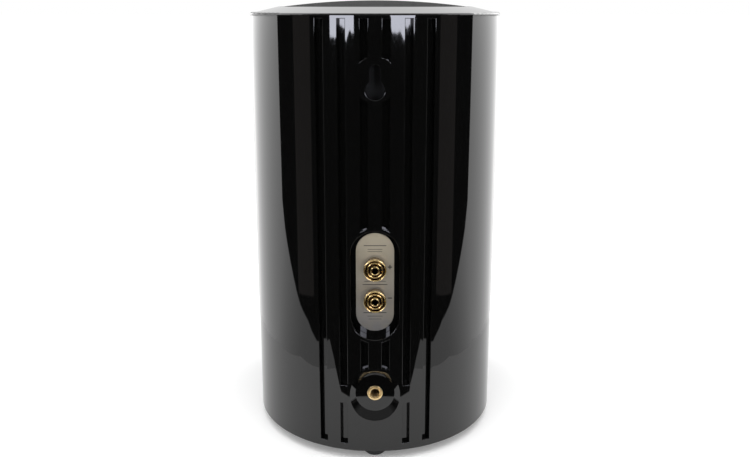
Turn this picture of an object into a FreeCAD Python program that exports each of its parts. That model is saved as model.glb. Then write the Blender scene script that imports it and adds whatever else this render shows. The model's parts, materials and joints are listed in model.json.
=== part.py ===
"""Two-way satellite speaker with a round back, a passive radiator on top and a bowed front grille.

Millimetres. +Z is up, the front faces -Y and the back +Y. The origin is at the bottom centre,
on the surface that the feet stand on. Pieces with a turned or extruded shape are drawn with
their own axis along local Z and then turned so that this axis points out of the front or back.
"""
import FreeCAD, Part
import math
import os
import re
import Sketcher

doc = FreeCAD.newDocument("Speaker")
sheet = doc.addObject("Spreadsheet::Sheet", "Dims")

# Driving dimensions. Each has its own cell and alias.
SIZES = {
    # cabinet
    "body_radius": 77.5,        # round back, and half the width
    "front_reach": 90.5,        # the round back's axis to the front of the grille
    "shell_height": 258.5,      # bottom of the shell to the edge of the top deck
    "foot_height": 6,
    "wall": 5,
    "top_thick": 7,             # edge of the deck down to the ceiling inside
    "deck_rise": 3.2,           # the deck climbs this much from its flat edge to the ridge
    "deck_land": 3.5,           # width of that flat edge
    "ridge_radius": 60.5,       # the ridge round the top grille
    "edge_round": 1.2,          # rounding between the wall and the deck
    "edge_break": 0.3,          # rounding where flutes and openings meet the back
    "edge_break_least": 1,      # edges shorter than this stay sharp
    # flutes down the back
    "flute_width": 4.3,
    "flute_depth": 3,
    "flute_pitch": 12.3,
    "flute_base": 4.3,          # above the shell's bottom
    "flute_head": 2.9,          # below the deck's edge
    # keyhole for a wall screw
    "keyhole_height": 217.2,    # centre of the entry, above the shell's bottom
    "keyhole_radius": 5.4,
    "keyhole_slot": 3.25,       # half the slot's width
    "keyhole_rise": 14.1,       # entry centre to the top of the slot
    "keyhole_land": 12.5,       # plain disc round the keyhole that the flutes stop at
    "keyhole_land_up": 6,       # its centre, above the entry's centre
    "pocket_half_width": 13,    # cover glued behind the keyhole
    "pocket_depth": 11,         # it reaches this far behind the wall
    "pocket_wall": 2,
    "pocket_above": 8,          # past the top of the slot
    # terminal recess
    "recess_height": 104.6,     # its centre, above the shell's bottom
    "recess_half_width": 14.1,
    "recess_half_length": 33,
    "recess_depth": 8,
    "recess_land": 2,
    "cup_seat_depth": 12,       # flat seat inside the wall, measured from the back
    "cup_flange": 14.9,
    "cup_flange_thick": 2.5,
    "cup_floor": 3,
    "cup_wall": 2.35,
    "cup_gap": 0.15,
    "cup_screw_side": 24,
    "cup_screw_up": 18,
    "cup_screw_bite": 4,
    "gasket_thick": 0.5,
    "label_inset": 3,
    "label_thick": 0.6,
    # binding posts
    "post_spacing": 19.05,
    "banana_radius": 2,
    "stud_radius": 2.6,
    "post_running_gap": 0.08,
    "cap_radius": 6.7,
    "cap_length": 5,
    "clamp_thick": 1,
    "collar_radius": 5.6,
    "collar_thick": 1,
    "stud_tip": 0.4,            # the stud stands this far past the closed cap
    "stud_tail": 14,            # stud behind the plate
    "banana_depth": 6,          # bore behind the plate
    "post_seat_gap": 0.05,
    "cap_chamfer": 0.6,
    "cap_lip": 1.6,             # raised ring round the stud
    "cap_lip_depth": 0.8,
    "cap_groove": 0.5,
    "insulator_radius": 6.5,
    "insulator_thick": 1.6,
    "tab_radius": 4.6,
    "tab_thick": 0.8,
    "tab_reach": 9,
    "nut_radius": 5,
    "nut_flat": 4.2,
    "nut_thick": 3.2,
    "bore_gap": 0.1,
    # threaded insert for a bracket
    "insert_height": 36.3,
    "insert_radius": 4.65,
    "insert_bore": 2.55,
    "insert_length": 12,
    "insert_boss": 13,
    "dish_radius": 16.1,
    "dish_floor": 11.7,
    "dish_depth": 4,
    "dish_bevel": 3.5,
    "insert_land": 17.5,
    "insert_band": 5.7,
    # feet
    "foot_radius": 6.7,
    "foot_chamfer": 1,
    "rear_foot_out": 66,
    "front_foot_side": 50,
    "front_foot_front": 38,
    # front grille
    "grille_bow": 20.5,         # front of the grille to the shell's front edge
    "grille_edge": 3,           # straight edge at each side of the bow
    "grille_gap": 0.3,
    "grille_wall": 3,
    "grille_border": 12,
    "cloth_thick": 0.8,
    "peg_radius": 3,
    "peg_length": 7.5,
    "peg_inset": 11.5,
    "peg_margin": 16,
    "peg_boss": 5.5,
    "window_bar": 8,            # bar between the frame's two openings
    "window_gap": 7,            # tweeter's edge down to that bar
    "peg_gap": 0.08,
    "socket_wall": 1.2,
    # baffle
    "baffle_thick": 10,
    "baffle_inset": 2,
    "baffle_gap": 0.2,
    "screw_margin": 34,
    "boss_radius": 6,
    "boss_length": 14,
    "screw_radius": 1.6,
    "screw_head": 3.2,
    "screw_head_thick": 2,
    "screw_gap": 0.04,
    "driver_screw_grip": 9,
    # woofer
    "woofer_height": 84,
    "woofer_radius": 66,
    "woofer_flange": 3.5,
    "woofer_recess": 4,
    "woofer_screw_circle": 61.8,
    "basket_radius": 56.5,
    "basket_floor": 30,
    "basket_depth": 34,
    "basket_sheet": 1.6,
    "basket_window": 7.5,
    "terminal_half_width": 8,
    "terminal_low": 46,         # woofer's centre down to the end of its terminals
    "terminal_thick": 1.5,
    "cone_radius": 47,
    "roll_radius": 4.2,
    "coil_radius": 12.9,
    "magnet_radius": 36,
    "magnet_thick": 13,
    "plate_thick": 4,
    "plate_radius": 33,
    "pole_radius": 12,
    "vent_radius": 4,
    "magnet_bore": 20,
    "coil_gap": 0.4,
    "coil_wire": 0.35,
    "coil_length": 10,
    "cone_depth": 20,
    "dust_cap_radius": 17,
    "dust_cap_rise": 5,
    # tweeter
    "tweeter_height": 208,
    "tweeter_radius": 33,
    "tweeter_recess": 3,
    "tweeter_plate": 3,
    "tweeter_screw_circle": 28.5,
    "dome_radius": 12.5,
    "dome_rise": 4.2,
    "tweeter_magnet": 21,
    "tweeter_can": 24,
    "can_depth": 17.5,
    "can_wall": 1.5,
    "tweeter_mouth": 3.7,       # round the dome
    "tweeter_flare": 10,
    "tweeter_plate_back": 7,    # levels behind the baffle's front
    "tweeter_plate_front": 4,
    "tweeter_magnet_back": 13,
    "tweeter_dome_level": 1.8,
    "tweeter_coil_low": 8.5,
    # passive radiator
    "step_radius": 60.2,        # where the top grille drops in
    "step_depth": 6,            # ridge down to the step that carries the top grille
    "well_radius": 58.7,
    "seat_depth": 15.7,         # ridge down to the radiator's seat
    "shelf_thick": 4,
    "shelf_radius": 47.5,
    "well_wall": 3.5,
    "radiator_flange": 3,
    "radiator_screw_circle": 54,
    "diaphragm_radius": 36.5,
    "diaphragm_thick": 1.2,
    "radiator_roll": 4.5,
    "weight_radius": 11,
    "weight_thick": 5,
    # top grille
    "dome_crown": 3.8,          # top grille's crown above the ridge
    "dome_edge": 0.4,           # its edge below the ridge
    "cap_fit": 0.2,
    "cap_ring": 3,
    "rib_width": 3,
    # crossover
    "board_length": 96,
    "board_width": 54,
    "board_thick": 1.6,
    "board_back": 50,
    "inductor_radius": 13,
    "inductor_bore": 6,
    "inductor_height": 15,
    "inductor_side": 24,
    "small_inductor_radius": 9,
    "small_inductor_bore": 4,
    "small_inductor_height": 11,
    "capacitor_radius": 6,
    "capacitor_length": 30,
    "resistor_height": 9,
    "wool_front": 12,
    "wool_low": 172,
    "wool_height": 32,
    "wool_half_width": 44,
    "wool_side_depth": 32,
    "wool_middle_depth": 46,
    "wool_bow": 70,
    "standoff_height": 4,
    "standoff_radius": 4,
    "lead_radius": 1.1,
    "press_gap": 0.02,
}

# Places and sizes that follow from the driving dimensions.
DERIVED = {
    "back_y": "(body_radius + front_reach) / 2",
    "axis_y": "(front_reach - body_radius) / 2",
    "front_y": "-(body_radius + front_reach) / 2",
    "edge_y": "grille_bow - (body_radius + front_reach) / 2",
    "floor_z": "foot_height + wall",
    "rim_z": "foot_height + shell_height",
    "ceiling_z": "rim_z - top_thick",
    "ridge_z": "rim_z + deck_rise",
    "inner_radius": "body_radius - wall",
    "far": "3 * body_radius + front_reach",
    "keyhole_z": "foot_height + keyhole_height",
    "recess_z": "foot_height + recess_height",
    "insert_z": "foot_height + insert_height",
    "recess_straight": "recess_half_length - recess_half_width",
    "plate_y": "back_y - recess_depth",
    "seat_y": "back_y - cup_seat_depth",
    "dish_y": "back_y - dish_depth",
    "baffle_y": "edge_y + baffle_inset",
    "baffle_back_y": "baffle_y + baffle_thick",
    "boss_x": "inner_radius - boss_radius + 1.5",
    "boss_low_z": "foot_height + screw_margin",
    "boss_high_z": "ceiling_z - screw_margin",
    "peg_x": "body_radius - peg_inset",
    "peg_low_z": "foot_height + peg_margin",
    "peg_high_z": "ceiling_z - peg_margin",
    "grille_y": "edge_y - grille_gap",
    "bow_rise": "grille_bow - grille_edge",
    "bow_radius": "(body_radius ^ 2 + bow_rise ^ 2) / (2 * bow_rise)",
    "bow_centre_y": "front_y + bow_radius",
    "woofer_z": "foot_height + woofer_height",
    "tweeter_z": "foot_height + tweeter_height",
    "seat_z": "ridge_z - seat_depth",
    "step_z": "ridge_z - step_depth",
    "crown_z": "ridge_z + dome_crown",
    "cap_outer": "step_radius - cap_fit",
    "cap_rise": "dome_crown + dome_edge",
    "board_z": "floor_z + standoff_height",
    "board_top_z": "board_z + board_thick",
    "board_front": "board_back - board_width",
}

FRONT = FreeCAD.Rotation(FreeCAD.Vector(1, 0, 0), 90)     # local Z points to -Y
BACK = FreeCAD.Rotation(FreeCAD.Vector(1, 0, 0), -90)     # local Z points to +Y
ACROSS = FreeCAD.Rotation(FreeCAD.Vector(0, 1, 0), 90)    # local Z points to +X
UP = FreeCAD.Rotation()

NODES = []


def fill_sheet():
    for row, (alias, value) in enumerate(SIZES.items(), start=1):
        sheet.set("A%d" % row, alias)
        sheet.set("B%d" % row, repr(value))
        sheet.setAlias("B%d" % row, alias)
    doc.recompute()


def expand(text):
    """Turn an expression on the names above into one on the spreadsheet's cells."""
    def swap(match):
        word = match.group(0)
        if word in DERIVED:
            return "(" + expand(DERIVED[word]) + ")"
        if word in SIZES:
            return "Dims." + word
        return word
    return re.sub(r"[A-Za-z_]\w*", swap, str(text))


def num(text):
    return float(sheet.evalExpression(expand(text)))


def place(obj, at, turn=UP):
    obj.Placement = FreeCAD.Placement(FreeCAD.Vector(*[num(value) for value in at]), turn)
    for axis, value in zip("xyz", at):
        obj.setExpression(".Placement.Base." + axis, expand(value))
    return obj


def node(obj, name):
    obj.Label = name
    NODES.append(obj)
    return obj


# Sketches -------------------------------------------------------------------------------------

def arc_between(start, end, radius, side):
    """The arc of less than half a turn from start to end, its centre left (+1) or right (-1)."""
    middle = (start + end) * 0.5
    along = end - start
    rise = math.sqrt(max(radius ** 2 - (along.Length / 2) ** 2, 0))
    normal = FreeCAD.Vector(-along.y, along.x, 0).normalize() * side
    centre = middle + normal * rise
    through = centre - normal * radius
    return Part.Arc(start, through, end)


def pin_point(sketch, curve, end, spot, at):
    """Tie one end of a curve to the expressions in spot."""
    if at.x == 0 and at.y == 0:
        sketch.addConstraint(Sketcher.Constraint("Coincident", curve, end, -1, 1))
        return
    for kind, value, number, axis in (("DistanceX", spot[0], at.x, -2), ("DistanceY", spot[1], at.y, -1)):
        if number == 0:
            sketch.addConstraint(Sketcher.Constraint("PointOnObject", curve, end, axis))
            continue
        index = sketch.addConstraint(Sketcher.Constraint(kind, -1, 1, curve, end, number))
        sketch.setExpression("Constraints[%d]" % index, expand(value))


def outline(sketch, points):
    """Closed outline. A point is (x, y), or (x, y, radius, side) where an arc leads up to it."""
    spots = [FreeCAD.Vector(num(p[0]), num(p[1]), 0) for p in points]
    for i, point in enumerate(points):
        start, end = spots[i - 1], spots[i]
        if len(point) == 4:
            sketch.addGeometry(arc_between(start, end, num(point[2]), point[3]), False)
        else:
            sketch.addGeometry(Part.LineSegment(start, end), False)
    ends = {i: (1, 2) for i in range(len(points))}
    for i, point in enumerate(points):
        if len(point) == 4:
            first = sketch.getPoint(i, 1)
            ends[i] = (1, 2) if (first - spots[i - 1]).Length < 1e-6 else (2, 1)
    for i, point in enumerate(points):
        following = (i + 1) % len(points)
        sketch.addConstraint(Sketcher.Constraint("Coincident", i, ends[i][1], following, ends[following][0]))
    for i, point in enumerate(points):
        pin_point(sketch, i, ends[i][1], point, spots[i])
        if len(point) == 4:
            index = sketch.addConstraint(Sketcher.Constraint("Radius", i, num(point[2])))
            sketch.setExpression("Constraints[%d]" % index, expand(point[2]))


def sketch_on(body, role, name):
    sketch = body.newObject("Sketcher::SketchObject", name)
    plane = [feature for feature in body.Origin.OriginFeatures if feature.Role == role][0]
    sketch.AttachmentSupport = [(plane, "")]
    sketch.MapMode = "FlatFace"
    return sketch


def turned(name, points, at=("0", "0", "0"), turn=UP):
    """A body of revolution about its own Z, from an outline of (radius, height) points."""
    body = doc.addObject("PartDesign::Body", name)
    profile = sketch_on(body, "XZ_Plane", name + "_profile")
    outline(profile, points)
    revolve = body.newObject("PartDesign::Revolution", name + "_turn")
    revolve.Profile = profile
    revolve.ReferenceAxis = (profile, ["V_Axis"])
    revolve.Angle = 360
    return place(body, at, turn)


def prism(name, points, length, at=("0", "0", "0"), turn=UP):
    """A body padded along its own Z from an outline in its XY plane."""
    body = doc.addObject("PartDesign::Body", name)
    profile = sketch_on(body, "XY_Plane", name + "_profile")
    outline(profile, points)
    pad = body.newObject("PartDesign::Pad", name + "_pad")
    pad.Profile = profile
    pad.setExpression("Length", expand(length))
    return place(body, at, turn)


def ring(name, outer, inner, low, high, at=("0", "0", "0"), turn=UP):
    if inner == "0":
        points = [("0", low), (outer, low), (outer, high), ("0", high)]
    else:
        points = [(inner, low), (outer, low), (outer, high), (inner, high)]
    return turned(name, points, at, turn)


# Primitives and booleans ----------------------------------------------------------------------

def box(name, low, high):
    """A box between two corners, each a triple of expressions."""
    obj = doc.addObject("Part::Box", name)
    for key, first, last in zip(("Length", "Width", "Height"), low, high):
        obj.setExpression(key, expand("(%s) - (%s)" % (last, first)))
    return place(obj, low)


def rod(name, radius, length, at, turn=UP):
    obj = doc.addObject("Part::Cylinder", name)
    obj.setExpression("Radius", expand(radius))
    obj.setExpression("Height", expand(length))
    return place(obj, at, turn)


def fuse(name, pieces):
    obj = doc.addObject("Part::MultiFuse", name)
    obj.Shapes = pieces
    return obj


def cut(name, base, tools):
    tool = tools[0] if len(tools) == 1 else fuse(name + "_tools", tools)
    obj = doc.addObject("Part::Cut", name)
    obj.Base = base
    obj.Tool = tool
    return obj


def common(name, first, second):
    obj = doc.addObject("Part::Common", name)
    obj.Base = first
    obj.Tool = second
    return obj


def group(name, pieces):
    obj = doc.addObject("Part::Compound", name)
    obj.Links = pieces
    return obj


def rods(name, spots, radius, length, start, turn):
    """Equal rods at (x, other) spots: other is z for rods along Y, and y for rods along Z."""
    made = []
    for i, (x, other) in enumerate(spots):
        at = (x, other, start) if turn is UP else (x, start, other)
        made.append(rod("%s_%d" % (name, i), radius, length, at, turn))
    return made


def screw_set(name, spots, seat, grip, turn):
    """Pan-head screws with a drive recess. seat is the face under the head."""
    made = []
    profile = [
        ("0", "-(%s)" % grip), ("screw_radius", "-(%s)" % grip), ("screw_radius", "0"), ("screw_head", "0"),
        ("screw_head", "screw_head_thick * 0.6"), ("screw_head * 0.7", "screw_head_thick"),
        ("screw_head * 0.4", "screw_head_thick"), ("screw_head * 0.3", "screw_head_thick * 0.4"),
        ("0", "screw_head_thick * 0.4"),
    ]
    for i, (x, other) in enumerate(spots):
        at = (x, other, seat) if turn is UP else (x, seat, other)
        made.append(turned("%s_%d" % (name, i), profile, at, turn))
    return made


def screws(name, spots, seat, grip, turn):
    return node(group(name, screw_set(name, spots, seat, grip, turn)), name)


def on_circle(radius, count, first, centre):
    """Spots evenly round a circle, as expressions. first is the first angle in degrees."""
    spots = []
    for i in range(count):
        angle = first + 360 * i / count
        spots.append(("(%s) * cos(%g deg)" % (radius, angle),
                      "(%s) + (%s) * sin(%g deg)" % (centre, radius, angle)))
    return spots


def stadium_points(half_width, straight):
    """Round-ended slot outline, long along its own Y."""
    wide, tall = half_width, straight
    return [
        (wide, tall),
        ("0", "(%s) + (%s)" % (tall, wide), wide, 1),
        ("-(%s)" % wide, tall, wide, 1),
        ("-(%s)" % wide, "-(%s)" % tall),
        ("0", "-(%s) - (%s)" % (tall, wide), wide, 1),
        (wide, "-(%s)" % tall, wide, 1),
    ]


def cap_sphere(radius, rise):
    """Radius of the sphere whose cap has this rim radius and rise."""
    return "((%s) ^ 2 + (%s) ^ 2) / (2 * (%s))" % (radius, rise, rise)


def d_points(radius, front):
    """Plan of the cabinet: half round behind its axis, straight sides to the front."""
    return [
        (radius, front),
        (radius, "axis_y"),
        ("0", "axis_y + (%s)" % radius, radius, 1),
        ("-(%s)" % radius, "axis_y", radius, 1),
        ("-(%s)" % radius, front),
    ]


def bow_points(inset, back):
    """Plan of the front grille: a shallow bow in front, straight edges, flat behind."""
    half = "body_radius - (%s)" % inset
    radius = "bow_radius - (%s)" % inset
    side_y = "bow_centre_y - sqrt((%s) ^ 2 - (%s) ^ 2)" % (radius, half)
    return [
        ("-(%s)" % half, side_y),
        ("0", "front_y + (%s)" % inset, radius, 1),
        (half, side_y, radius, 1),
        (half, back),
        ("-(%s)" % half, back),
    ]


def under_deck():
    """Everything under the deck: a cone up to the ridge, flat outside it."""
    return turned("under_deck", [
        ("0", "0"), ("far", "0"), ("far", "rim_z"), ("body_radius - deck_land", "rim_z"),
        ("ridge_radius", "ridge_z"), ("0", "ridge_z"),
    ], ("0", "axis_y", "0"))


# Cabinet --------------------------------------------------------------------------------------

PEG_SPOTS = [(x, z) for z in ("peg_low_z", "peg_high_z") for x in ("-(peg_x)", "peg_x")]
BOSS_SPOTS = [(x, z) for z in ("boss_low_z", "boss_high_z") for x in ("-(boss_x)", "boss_x")]
FEET = {
    "foot_rear": ("0", "axis_y + rear_foot_out"),
    "foot_left": ("-front_foot_side", "axis_y - front_foot_front"),
    "foot_right": ("front_foot_side", "axis_y - front_foot_front"),
}
CUP_SCREW_SPOTS = [(x, z) for z in ("recess_z - cup_screw_up", "recess_z + cup_screw_up")
                   for x in ("-cup_screw_side", "cup_screw_side")]
WOOFER_SPOTS = on_circle("woofer_screw_circle", 4, 45, "woofer_z")
TWEETER_SPOTS = on_circle("tweeter_screw_circle", 4, 45, "tweeter_z")
RADIATOR_SPOTS = on_circle("radiator_screw_circle", 4, 45, "axis_y")
BOARD_SPOTS = [(x, y) for y in ("board_front + 5", "board_back - 5")
               for x in ("5 - board_length / 2", "board_length / 2 - 5")]


def flutes():
    """Six straight channels down the back, less the plain lands that they stop at."""
    band = ring("flute_band", "body_radius + 2", "body_radius - flute_depth",
                "foot_height + flute_base", "rim_z - flute_head", ("0", "axis_y", "0"))
    slats = []
    for i, step in enumerate((-2.5, -1.5, -0.5, 0.5, 1.5, 2.5)):
        centre = "flute_pitch * %g" % step
        slats.append(box("slat_%d" % i, (centre + " - flute_width / 2", "axis_y", "0"),
                         (centre + " + flute_width / 2", "back_y + 5", "rim_z")))
    channels = common("channels", band, fuse("slats", slats))
    lands = [
        rod("insert_disc", "insert_land", "wall + 20", ("0", "back_y + 5", "insert_z"), FRONT),
        box("insert_strip", ("-2 * flute_pitch", "axis_y", "insert_z - insert_band"),
            ("2 * flute_pitch", "back_y + 5", "insert_z + insert_band")),
        box("below_insert", ("-flute_pitch", "axis_y", "0"), ("flute_pitch", "back_y + 5", "insert_z")),
        rod("keyhole_disc", "keyhole_land", "wall + 20",
            ("0", "back_y + 5", "keyhole_z + keyhole_land_up"), FRONT),
        prism("recess_rim", stadium_points("recess_half_width + recess_land", "recess_straight"),
              "wall + 20", ("0", "back_y + 5", "recess_z"), FRONT),
    ]
    return cut("flute_tool", channels, lands)


def rounded_block():
    """The cabinet's outside, with the edge between wall and deck rounded."""
    plan = prism("cabinet_plan", d_points("body_radius", "edge_y"), "shell_height + deck_rise + 5",
                 ("0", "0", "foot_height"))
    block = common("cabinet_block", plan, under_deck())
    doc.recompute()
    rounded = doc.addObject("Part::Fillet", "cabinet_rounded")
    rounded.Base = block
    size = num("edge_round")
    chosen = []
    for index, edge in enumerate(block.Shape.Edges, start=1):
        middle = edge.valueAt((edge.FirstParameter + edge.LastParameter) / 2)
        at_rim = abs(middle.z - num("rim_z")) < 0.01
        from_axis = math.hypot(middle.x, max(middle.y - num("axis_y"), 0))
        if at_rim and abs(from_axis - num("body_radius")) < 0.01:
            chosen.append((index, size, size))
    rounded.Edges = chosen
    return rounded


def keyhole_tool(name, grow, length, start):
    entry = rod(name + "_entry", "keyhole_radius + (%s)" % grow, length, ("0", start, "keyhole_z"), FRONT)
    top = rod(name + "_top", "keyhole_slot + (%s)" % grow, length,
              ("0", start, "keyhole_z + keyhole_rise - keyhole_slot"), FRONT)
    slot = box(name + "_slot", ("-keyhole_slot - (%s)" % grow, "(%s) - (%s)" % (start, length), "keyhole_z"),
               ("keyhole_slot + (%s)" % grow, start, "keyhole_z + keyhole_rise - keyhole_slot"))
    return fuse(name, [entry, top, slot])


def softened(name, shell):
    """The shell with a small rounding wherever a flute or an opening meets its round back.

    The dish and the plain land round it keep the edges they are cut with.
    """
    doc.recompute()
    rounded = doc.addObject("Part::Fillet", name)
    rounded.Base = shell
    size = num("edge_break")
    radius, centre_y = num("body_radius"), num("axis_y")
    low, high = num("foot_height") + size, num("rim_z - edge_round") + size
    dish_height, land = num("insert_z"), num("insert_land + edge_break_least")
    chosen = []
    for index, edge in enumerate(shell.Shape.Edges, start=1):
        reach = edge.LastParameter - edge.FirstParameter
        spots = [edge.valueAt(edge.FirstParameter + reach * share) for share in (0.02, 0.35, 0.65, 0.98)]
        on_back = all(abs(math.hypot(spot.x, spot.y - centre_y) - radius) < 0.02
                      and spot.y > centre_y + radius / 8 and abs(spot.x) < radius / 2
                      and low < spot.z < high for spot in spots)
        middle = edge.valueAt(edge.FirstParameter + reach / 2)
        off_the_land = math.hypot(middle.x, middle.z - dish_height) > land
        if on_back and off_the_land and edge.Length > num("edge_break_least"):
            chosen.append((index, size, size))
    rounded.Edges = chosen
    return rounded


def rear_shell():
    axis = ("0", "axis_y", "0")
    room = prism("cabinet_room", d_points("inner_radius", "edge_y - 1"), "ceiling_z - floor_z",
                 ("0", "0", "floor_z"))
    hollow = cut("cabinet_hollow", rounded_block(), [room])
    well = ring("radiator_well", "well_radius + well_wall", "0", "seat_z - shelf_thick", "ceiling_z + 1", axis)
    pad = common("cup_pad",
                 prism("cup_pad_block", stadium_points("recess_half_width + cup_flange", "recess_straight"),
                       "cup_seat_depth", ("0", "back_y", "recess_z"), FRONT),
                 ring("cup_pad_round", "inner_radius + 1", "0", "floor_z", "ceiling_z", axis))
    insert_boss = rod("insert_boss", "insert_boss", "insert_length + 3 + dish_depth - wall",
                      ("0", "back_y - wall + 1", "insert_z"), FRONT)
    bosses = rods("baffle_boss", BOSS_SPOTS, "boss_radius", "boss_length",
                  "baffle_back_y + baffle_gap + boss_length", FRONT)
    trimmed = common("baffle_bosses", fuse("baffle_boss_set", bosses),
                     prism("boss_trim", d_points("body_radius - 1", "edge_y"), "shell_height",
                           ("0", "0", "foot_height")))
    solid = fuse("cabinet_solid", [hollow, well, pad, insert_boss, trimmed])
    dish = turned("insert_dish", [
        ("0", "-insert_length - 0.5"), ("insert_radius + press_gap", "-insert_length - 0.5"),
        ("insert_radius + press_gap", "0"), ("dish_floor", "0"), ("dish_radius", "dish_bevel"),
        ("dish_radius", "dish_depth + 2"), ("0", "dish_depth + 2"),
    ], ("0", "dish_y", "insert_z"), BACK)
    tools = [
        flutes(),
        dish,
        keyhole_tool("keyhole", "0", "wall + 6", "back_y + 3"),
        prism("recess_hole", stadium_points("recess_half_width", "recess_straight"),
              "cup_seat_depth + 6", ("0", "back_y + 3", "recess_z"), FRONT),
        ring("grille_step", "step_radius", "0", "step_z", "ridge_z + 5", axis),
        ring("well_bore", "well_radius", "0", "seat_z", "ridge_z", axis),
        ring("shelf_bore", "shelf_radius", "0", "seat_z - shelf_thick - 1", "ridge_z", axis),
    ]
    pilot = "screw_radius + screw_gap"
    tools += rods("baffle_pilot", BOSS_SPOTS, pilot, "boss_length",
                  "baffle_back_y + baffle_gap + boss_length - 2", FRONT)
    tools += rods("cup_pilot", CUP_SCREW_SPOTS, pilot, "cup_screw_bite + 1.5",
                  "seat_y + cup_screw_bite + 1", FRONT)
    tools += rods("radiator_pilot", RADIATOR_SPOTS, pilot, "shelf_thick + 2", "seat_z - shelf_thick - 1", UP)
    tools += rods("foot_pilot", FEET.values(), pilot, "wall", "foot_height - 1", UP)
    return node(softened("rear_shell", cut("cabinet_cut", solid, tools)), "rear_shell")


def feet():
    pads = []
    for name, (x, y) in FEET.items():
        pads.append(turned(name, [
            ("screw_head + 0.4", "0"), ("foot_radius - foot_chamfer", "0"), ("foot_radius", "foot_chamfer"),
            ("foot_radius", "foot_height"), ("screw_radius + screw_gap", "foot_height"),
            ("screw_radius + screw_gap", "foot_height / 2"), ("screw_head + 0.4", "foot_height / 2"),
        ], (x, y, "0")))
    node(group("rubber_feet", pads), "rubber_feet")
    made = []
    for i, (x, y) in enumerate(FEET.values()):
        made.append(turned("foot_screw_%d" % i, [
            ("0", "foot_height / 2 - screw_head_thick"), ("screw_head", "foot_height / 2 - screw_head_thick"),
            ("screw_head", "foot_height / 2"), ("screw_radius", "foot_height / 2"),
            ("screw_radius", "foot_height + wall - 1.5"), ("0", "foot_height + wall - 1.5"),
        ], (x, y, "0")))
    node(group("foot_screws", made), "foot_screws")


def threaded_insert():
    node(ring("threaded_insert", "insert_radius", "insert_bore", "-insert_length", "0.4",
              ("0", "dish_y", "insert_z"), BACK), "threaded_insert")


def keyhole_cover():
    """Sealed pocket glued behind the keyhole, where the wall screw's head goes."""
    half, top = "pocket_half_width", "keyhole_z + keyhole_rise + pocket_above"
    outside = box("pocket_block", ("-" + half, "back_y - wall - pocket_depth", "keyhole_z - " + half),
                  (half, "back_y", top))
    inside = box("pocket_room", ("pocket_wall - " + half, "back_y - wall - pocket_depth + pocket_wall",
                                 "keyhole_z + pocket_wall - " + half),
                 (half + " - pocket_wall", "back_y + 1", top + " - pocket_wall"))
    wall = ring("pocket_round", "inner_radius - 0.05", "0", "floor_z", "ceiling_z", ("0", "axis_y", "0"))
    node(common("keyhole_cover", cut("pocket", outside, [inside]), wall), "keyhole_cover")


# Terminals ------------------------------------------------------------------------------------

POST_HEIGHTS = {"upper": "recess_z + post_spacing / 2", "lower": "recess_z - post_spacing / 2"}
COLLAR_TOP = "label_thick + collar_thick"
CAP_LOW = "label_thick + collar_thick + clamp_thick"


def terminal_cup():
    flange_low = "cup_seat_depth - recess_depth + gasket_thick + cup_flange_thick"
    flange = prism("cup_flange_block",
                   stadium_points("recess_half_width + cup_flange - 0.3", "recess_straight"),
                   "cup_flange_thick", ("0", "seat_y - gasket_thick", "recess_z"), FRONT)
    plug = prism("cup_plug", stadium_points("recess_half_width - cup_gap", "recess_straight"),
                 flange_low, ("0", "plate_y", "recess_z"), FRONT)
    holes = rods("cup_hole", CUP_SCREW_SPOTS, "screw_radius + screw_gap", "cup_flange_thick + 4",
                 "seat_y + 1", FRONT)
    for name, height in POST_HEIGHTS.items():
        holes.append(rod("cup_bore_" + name, "stud_radius + bore_gap", "cup_seat_depth + 6",
                         ("0", "back_y", height), FRONT))
    room = prism("cup_room", stadium_points("recess_half_width - cup_gap - cup_wall", "recess_straight"),
                 "cup_seat_depth", ("0", "plate_y - cup_floor", "recess_z"), FRONT)
    node(cut("terminal_cup", fuse("cup_body", [flange, plug]), holes + [room]), "terminal_cup")
    gasket = prism("cup_gasket_plate",
                   stadium_points("recess_half_width + cup_flange - 0.6", "recess_straight"), "gasket_thick",
                   ("0", "seat_y", "recess_z"), FRONT)
    window = prism("cup_gasket_window", stadium_points("recess_half_width + 0.4", "recess_straight"),
                   "gasket_thick + 2", ("0", "seat_y + 1", "recess_z"), FRONT)
    bores = rods("cup_gasket_hole", CUP_SCREW_SPOTS, "screw_radius + 0.3", "gasket_thick + 2",
                 "seat_y + 1", FRONT)
    node(cut("terminal_gasket", gasket, [window] + bores), "terminal_gasket")
    screws("terminal_screws", CUP_SCREW_SPOTS, "seat_y - gasket_thick - cup_flange_thick",
           "cup_flange_thick + gasket_thick + cup_screw_bite", FRONT)


def label_plate():
    plate = prism("label_blank", stadium_points("recess_half_width - label_inset", "recess_straight"),
                  "label_thick", ("0", "plate_y + label_thick", "recess_z"), FRONT)
    bores = [rod("label_bore_" + name, "collar_radius + bore_gap", "label_thick + 2",
                 ("0", "plate_y + label_thick + 1", height), FRONT) for name, height in POST_HEIGHTS.items()]
    node(cut("label_plate", plate, bores), "label_plate")


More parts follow.
